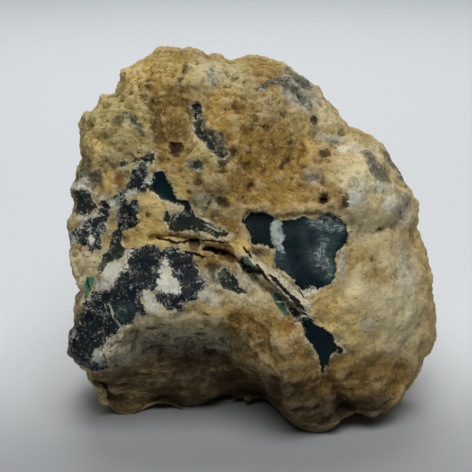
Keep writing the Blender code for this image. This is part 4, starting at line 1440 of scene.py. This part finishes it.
    def indigo_blots(self, colour):
        """Opaque dark blotches under white powder."""
        navy = self.nodes.cloud(2.6, seed=17).rise(0.4, 0.65)
        indigo = self.paint(self.look.indigo, ("navy", navy), ("powder", self.dusting))
        return self.nodes.mix(colour, indigo, self.indigo)

    def chalcedony(self, colour):
        """Clear dark chalcedony with milky streaks and white threads, and on the window a painted reflection
        of the light.
        """
        cloud = self.nodes.cloud
        threads = abs(cloud(2.0, seed=41, detail=4, rough=0.65, twist=0.9) - 0.5).rise(0.06, 0.0)
        wispy = (self.wisps + 0.3 * (self.milk_and_reflection - 1.0)).rise(0.38, 0.5)
        threads = threads * wispy * self.milk_and_reflection.rise(0.1, 0.5)
        fleck = cloud(0.5, seed=20, detail=5, rough=0.8).rise(0.62, 0.72)
        # Painted reflection on the window, laid as pale powder.
        reflection_powder = self.bar * self.small.rise(0.3, 0.6) * 0.6
        blue = self.paint(
            self.look.teal,
            ("navy", cloud(4.5, seed=18, detail=2).rise(0.38, 0.62)),
            ("indigo", self.sooty * 0.8),
            ("bloom", self.haze_and_reflection.at_least(fleck * (0.2 + 0.4 * self.sooty))),
            ("powder", reflection_powder.at_least(threads * 0.45)),
        )
        return self.nodes.mix(colour, blue, self.blue)

    def green_crystals(self, colour):
        """Small green crystals, paler at their edges."""
        streaks = self.nodes.cloud(0.9, seed=21, stretch=(2.0, 1.0, 0.6)).rise(0.44, 0.64)
        edge = self.nodes.field("green").rise(-0.35, 0.0)
        green = self.paint(self.look.green, ("teal", streaks), ("cream", edge * 0.5))
        return self.nodes.mix(colour, green, self.green)

    def white_crust(self, colour):
        """White powdery crusts."""
        white = self.paint(
            self.look.powder,
            ("cream", self.nodes.cloud(1.6, seed=22, detail=4).rise(0.42, 0.62) * 0.7),
            ("slate", self.sand.rise(0.2, 2.0) * 0.6),
        )
        inside = self.patch("white", self.frayed * 0.6 + 5.0 * (self.powder - 0.5), 0.14)
        return self.nodes.mix(colour, white, inside * (0.7 + 0.6 * self.small).at_most(1.0))

    def slivers(self, colour):
        """Cracks and splinters on the face, drawn finer than the mesh, and the bottoms of the holes."""
        look, mix, cloud = self.look, self.nodes.mix, self.nodes.cloud
        drawing = Drawing(self.nodes)
        on_face = (self.nodes.field("front") - 0.5).rise(-0.1, 0.2)
        fibres = cloud(0.5, seed=23, detail=4, rough=0.7)
        torn = 0.9 * (cloud(0.7, seed=37, detail=5, rough=0.75) - 0.5)
        tints = {
            "pale": mix(look.cream, look.ash, fibres.rise(0.42, 0.62)),
            "grey": mix(look.ash, look.slate, fibres.rise(0.45, 0.65)),
            "dark": look.gap,
            "green": mix(look.green, look.olive, fibres.rise(0.42, 0.62) * 0.8),
        }
        for tone, rows in itertools.groupby(FACE_LINES, key=lambda row: row[0]):
            depth = functools.reduce(Value.at_least, (drawing.line(*row[1:]) for row in rows))
            colour = mix(colour, tints[tone], (depth + torn).rise(-0.04, 0.05) * on_face * 0.97)
        return self.paint(colour, ("gap", self.patch("gap", self.ragged * 0.2, 0.1) * 0.96))

    def gloss(self):
        """Roughness and coat. The chalcedony is glassy where it is clean, and the rock is dull."""
        clean = self.blue * (1.0 - 0.8 * self.haze_and_reflection)
        dark = (self.indigo * (1.0 - self.dusting)).at_least(self.green * 0.8)
        roughness = 0.9 - 0.6 * clean - (0.36 * dark + 0.1 * self.olive) * (1.0 - self.blue)
        return roughness.at_least(0.15), clean * 0.015 + dark * 0.03

    def finest_relief(self):
        """Height of the finest grain, as a share of the bump height."""
        solid = self.blue.at_least(self.olive).at_least(self.green)
        grainy = (0.035 * self.sand + 0.1 * self.dark_grains) * self.rough
        height = 0.06 * self.bumps - grainy - 0.2 * self.cracks
        height = height * (1.0 - 0.9 * solid) * (1.0 - 0.5 * self.indigo)
        height = height + 0.06 * self.powder * self.indigo + 0.012 * self.wisps * self.blue
        return height + 0.15 * self.strata * self.shaded


def rock_material(look):
    material = bpy.data.materials.new("raw bacan stone")
    nodes = Nodes(material)
    rock = RockFinish(nodes, look)
    colour = rock.host_rock()
    for finish in (
        rock.grains,
        rock.fringe,
        rock.slate_stains,
        rock.olive_seams,
        rock.indigo_blots,
        rock.chalcedony,
        rock.green_crystals,
        rock.white_crust,
        rock.slivers,
    ):
        colour = finish(colour)
    roughness, coat = rock.gloss()
    bump = {"Strength": 1.0, "Distance": look.bump_height, "Height": rock.finest_relief()}
    inputs = {
        "Base Color": colour,
        "Roughness": roughness,
        "Coat Weight": coat,
        "Normal": nodes.add("ShaderNodeBump", None, bump),
        "Coat Roughness": 0.12,
        "Specular IOR Level": 0.12,
        "IOR": 1.5,
    }
    shader = nodes.add("ShaderNodeBsdfPrincipled", None, inputs)
    nodes.add("ShaderNodeOutputMaterial", None, {"Surface": shader})
    return material


def stage_material(look):
    material = bpy.data.materials.new("plain stage")
    nodes = Nodes(material)
    _, depth, _ = nodes.axes()
    # The floor is painted darker in front of the rock, as painted shadow, and lighter far off, as painted
    # light.
    near, painted_far_light = ([tone * part for part in look.floor] for tone in (look.near_painted_shadow, look.far_painted_light))
    colour = nodes.mix(look.floor, near, depth.rise(*PAINTED_SHADOW_GRADE))
    colour = nodes.mix(colour, painted_far_light, depth.rise(*PAINTED_LIGHT_GRADE))
    shader = nodes.add("ShaderNodeBsdfPrincipled", None, {"Base Color": colour, "Roughness": 0.7})
    nodes.add("ShaderNodeOutputMaterial", None, {"Surface": shader})
    return material


# ---------------------------------------------------------------------------------------------------------
# The stage
# ---------------------------------------------------------------------------------------------------------


def add_light(name, power, size, place, aim):
    light = bpy.data.lights.new(name, "AREA")
    light.energy, light.size = power, size
    lamp = bpy.data.objects.new(name, light)
    bpy.context.collection.objects.link(lamp)
    lamp.location = place
    lamp.rotation_euler = (Vector(aim) - Vector(place)).to_track_quat("-Z", "Y").to_euler()


def add_surroundings(look):
    world = bpy.data.worlds.new("plain light")
    world.use_nodes = True
    background = world.node_tree.nodes["Background"]
    background.inputs["Color"].default_value = rgba(look.world)
    background.inputs["Strength"].default_value = look.world_strength
    bpy.context.scene.world = world


def add_camera():
    """A camera square on to the leaning face, so it looks down by the angle of the lean."""
    camera = bpy.data.cameras.new("camera")
    face_middle = Vector((-MIDDLE[0], -MIDDLE[1], FLOOR_DROP - FOOT_WEAR)) * MM
    right, up, out = Vector((1, 0, 0)), Vector((0, LEAN, RISE)), Vector((0, -RISE, LEAN))
    camera.sensor_width = SENSOR_WIDTH
    camera.lens = SENSOR_WIDTH * TAPER_DISTANCE / (IMAGE_SIZE * GRID)
    camera.shift_x = (IMAGE_SIZE / 2 - GRID_MIDDLE[0]) / IMAGE_SIZE
    camera.shift_y = (GRID_MIDDLE[1] - IMAGE_SIZE / 2) / IMAGE_SIZE
    camera.clip_start, camera.clip_end = CLIP_RANGE
    eye = bpy.data.objects.new("camera", camera)
    bpy.context.collection.objects.link(eye)
    turn = Matrix((right, up, out)).transposed().to_4x4()
    eye.matrix_world = Matrix.Translation(face_middle + out * TAPER_DISTANCE * MM) @ turn
    bpy.context.scene.camera = eye


def build_floor(look):
    """A round floor that sweeps up into a backdrop all round."""
    profile = [(0.0, 0.0), (INNER_RING * look.radius, 0.0), (look.radius, 0.0)]
    for step in range(1, SWEEP_STEPS + 1):
        a = math.radians(90.0 / SWEEP_STEPS * step)
        profile.append((look.radius + SWEEP_RADIUS * math.sin(a), SWEEP_RADIUS * (1.0 - math.cos(a))))
    profile.append((profile[-1][0], BACKDROP_HEIGHT))
    bm = bmesh.new()
    points = [bm.verts.new((x, 0.0, z)) for x, z in profile]
    edges = [bm.edges.new(pair) for pair in zip(points, points[1:])]
    around_z = {"cent": (0, 0, 0), "axis": (0, 0, 1), "angle": math.tau, "steps": FLOOR_SPOKES}
    bmesh.ops.spin(bm, geom=points + edges, use_merge=True, **around_z)
    bmesh.ops.remove_doubles(bm, verts=bm.verts[:], dist=WELD)
    bmesh.ops.recalc_face_normals(bm, faces=bm.faces[:])
    mesh = bpy.data.meshes.new("floor")
    bm.to_mesh(mesh)
    bm.free()
    mesh.polygons.foreach_set("use_smooth", np.ones(len(mesh.polygons), bool))
    mesh.materials.append(stage_material(look))
    floor = bpy.data.objects.new("floor", mesh)
    bpy.context.collection.objects.link(floor)


# ---------------------------------------------------------------------------------------------------------
# Settings, operators and panel
# ---------------------------------------------------------------------------------------------------------


def colour_setting(name, description, default):
    return bpy.props.FloatVectorProperty(
        name=name, description=description, default=default, subtype="COLOR", size=3, min=0.0, max=1.0
    )


def length_setting(name, description, default):
    return bpy.props.FloatProperty(
        name=name, description=description, default=default, subtype="DISTANCE", unit="LENGTH", precision=5
    )


def power_setting(name, description, default):
    return bpy.props.FloatProperty(
        name=name, description=description, default=default, subtype="POWER", unit="POWER"
    )


def share_setting(name, description, default):
    return bpy.props.FloatProperty(name=name, description=description, default=default)


def count_setting(name, description, default):
    return bpy.props.IntProperty(name=name, description=description, default=default)


class RockLook(bpy.types.PropertyGroup):
    """Sizes and colours of the rock."""

    mesh_size: length_setting("Mesh size", "Width of the cells that the rock is remeshed to", 0.31 * MM)
    triangles: count_setting("Triangles", "About how many triangles the rock keeps", 196000)
    grain_height: length_setting("Grain height", "Height of the rock's coarse grain", 0.3 * MM)
    crag_height: length_setting("Crag height", "Height of the sharp crags of the upper left", 0.95 * MM)
    bump_height: length_setting("Bump height", "Scale of the finest grain, which is shading only", 1.0 * MM)
    pit_count: count_setting("Pits", "Small pits strewn over the rock", 110)
    tan: colour_setting("Tan", "Main colour of the host rock", (0.58, 0.43, 0.19))
    pale: colour_setting("Pale", "Bleached host rock", (0.73, 0.63, 0.37))
    # Cream also lightens the crests, more where the rock is painted as lit.
    cream: colour_setting("Cream", "Crusts and worn crests", (0.80, 0.70, 0.46))
    khaki: colour_setting("Khaki", "Greenish host rock of the upper left", (0.42, 0.34, 0.115))
    ochre: colour_setting("Ochre", "Iron-stained host rock", (0.44, 0.26, 0.055))
    brown: colour_setting("Brown", "Darker stains", (0.31, 0.18, 0.035))
    # Umber also paints the shade under the ledge, and darkens the hollows.
    umber: colour_setting("Umber", "Dirt in the hollows and under the ledge", (0.078, 0.048, 0.027))
    gold: colour_setting("Gold", "Smooth golden host rock", (0.92, 0.65, 0.21))
    ash: colour_setting("Ash", "Grey, weathered host rock", (0.54, 0.51, 0.39))
    # These dark specks also paint shade into the pits.
    soot: colour_setting("Soot", "Small dark hollows and specks", (0.035, 0.025, 0.012))
    rust: colour_setting("Rust", "Small red-brown stains", (0.28, 0.11, 0.03))
    teal: colour_setting("Teal", "Chalcedony, green-blue", (0.003, 0.015, 0.015))
    navy: colour_setting("Navy", "Chalcedony, blue", (0.003, 0.01, 0.018))
    # Bloom also paints the reflection of the light on the window.
    bloom: colour_setting("Bloom", "Milky streaks in the chalcedony", (0.15, 0.23, 0.225))
    indigo: colour_setting("Indigo", "Opaque dark blotches", (0.015, 0.019, 0.02))
    olive: colour_setting("Olive", "Green-black seams", (0.022, 0.03, 0.02))
    green: colour_setting("Green", "Small green crystals", (0.09, 0.2, 0.12))
    powder: colour_setting("Powder", "White powder on the dark blotches", (0.73, 0.73, 0.63))
    slate: colour_setting("Slate", "Grey stains", (0.13, 0.14, 0.105))
    gap: colour_setting("Gap", "Bottoms of the cracks and holes", (0.005, 0.004, 0.003))


class StageLook(bpy.types.PropertyGroup):
    """The floor and the light."""

    floor: colour_setting("Floor", "Colour of the floor and backdrop", (0.655, 0.675, 0.69))
    # The two tones paint the floor: darker in front as painted shadow, lighter far off as painted light.
    near_painted_shadow: share_setting("Near tone", "Brightness of the graded floor in front, as a share", 0.4)
    far_painted_light: share_setting("Far tone", "Brightness of the graded floor behind, as a share", 1.22)
    world: colour_setting("Surroundings", "Colour of the light from all round", (0.8, 0.88, 0.95))
    world_strength: share_setting("Surrounding light", "Strength of the light from all round", 0.19)
    key_power: power_setting("Main light", "Power of the light overhead", 2.25)
    fill_power: power_setting("Fill light", "Power of the light in front", 2.7)
    radius: length_setting("Floor radius", "Where the floor turns up into the backdrop", 1.6)


class STONE_OT_build_rock(bpy.types.Operator):
    """Build the rock in place of the plain solid"""

    bl_idname = "stone.build_rock"
    bl_label = "Build rock"

    def execute(self, context):
        look = context.scene.rock_look
        rock = build_rock(look)
        rock.data.materials.append(rock_material(look))
        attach(rock, "root")
        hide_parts("stone")
        return {"FINISHED"}


class STONE_OT_build_stage(bpy.types.Operator):
    """Set up the plain floor, the soft light and the camera"""

    bl_idname = "stone.build_stage"
    bl_label = "Build stage"

    def execute(self, context):
        look = context.scene.stage_look
        build_floor(look)
        for name, power, size, place, aim in LIGHTS:
            add_light(name, getattr(look, power), size, place, aim)
        add_surroundings(look)
        context.scene.view_settings.view_transform = "Standard"
        add_camera()
        return {"FINISHED"}


class STONE_PT_panel(bpy.types.Panel):
    """Lists the settings and the operators"""

    bl_label = "Raw bacan stone"
    bl_space_type = "VIEW_3D"
    bl_region_type = "UI"
    bl_category = "Stone"

    def draw(self, context):
        scene = context.scene
        for look, operator in ((scene.rock_look, "build_rock"), (scene.stage_look, "build_stage")):
            box = self.layout.box()
            for name in look.__annotations__:
                box.prop(look, name)
            box.operator("stone." + operator)


CLASSES = (RockLook, StageLook, STONE_OT_build_rock, STONE_OT_build_stage, STONE_PT_panel)


def register():
    for cls in CLASSES:
        bpy.utils.register_class(cls)
    bpy.types.Scene.rock_look = bpy.props.PointerProperty(type=RockLook)
    bpy.types.Scene.stage_look = bpy.props.PointerProperty(type=StageLook)


def unregister():
    del bpy.types.Scene.stage_look
    del bpy.types.Scene.rock_look
    for cls in reversed(CLASSES):
        bpy.utils.unregister_class(cls)


def main():
    register()
    bpy.ops.stone.build_rock()
    bpy.ops.stone.build_stage()


if __name__ == "__main__":
    main()
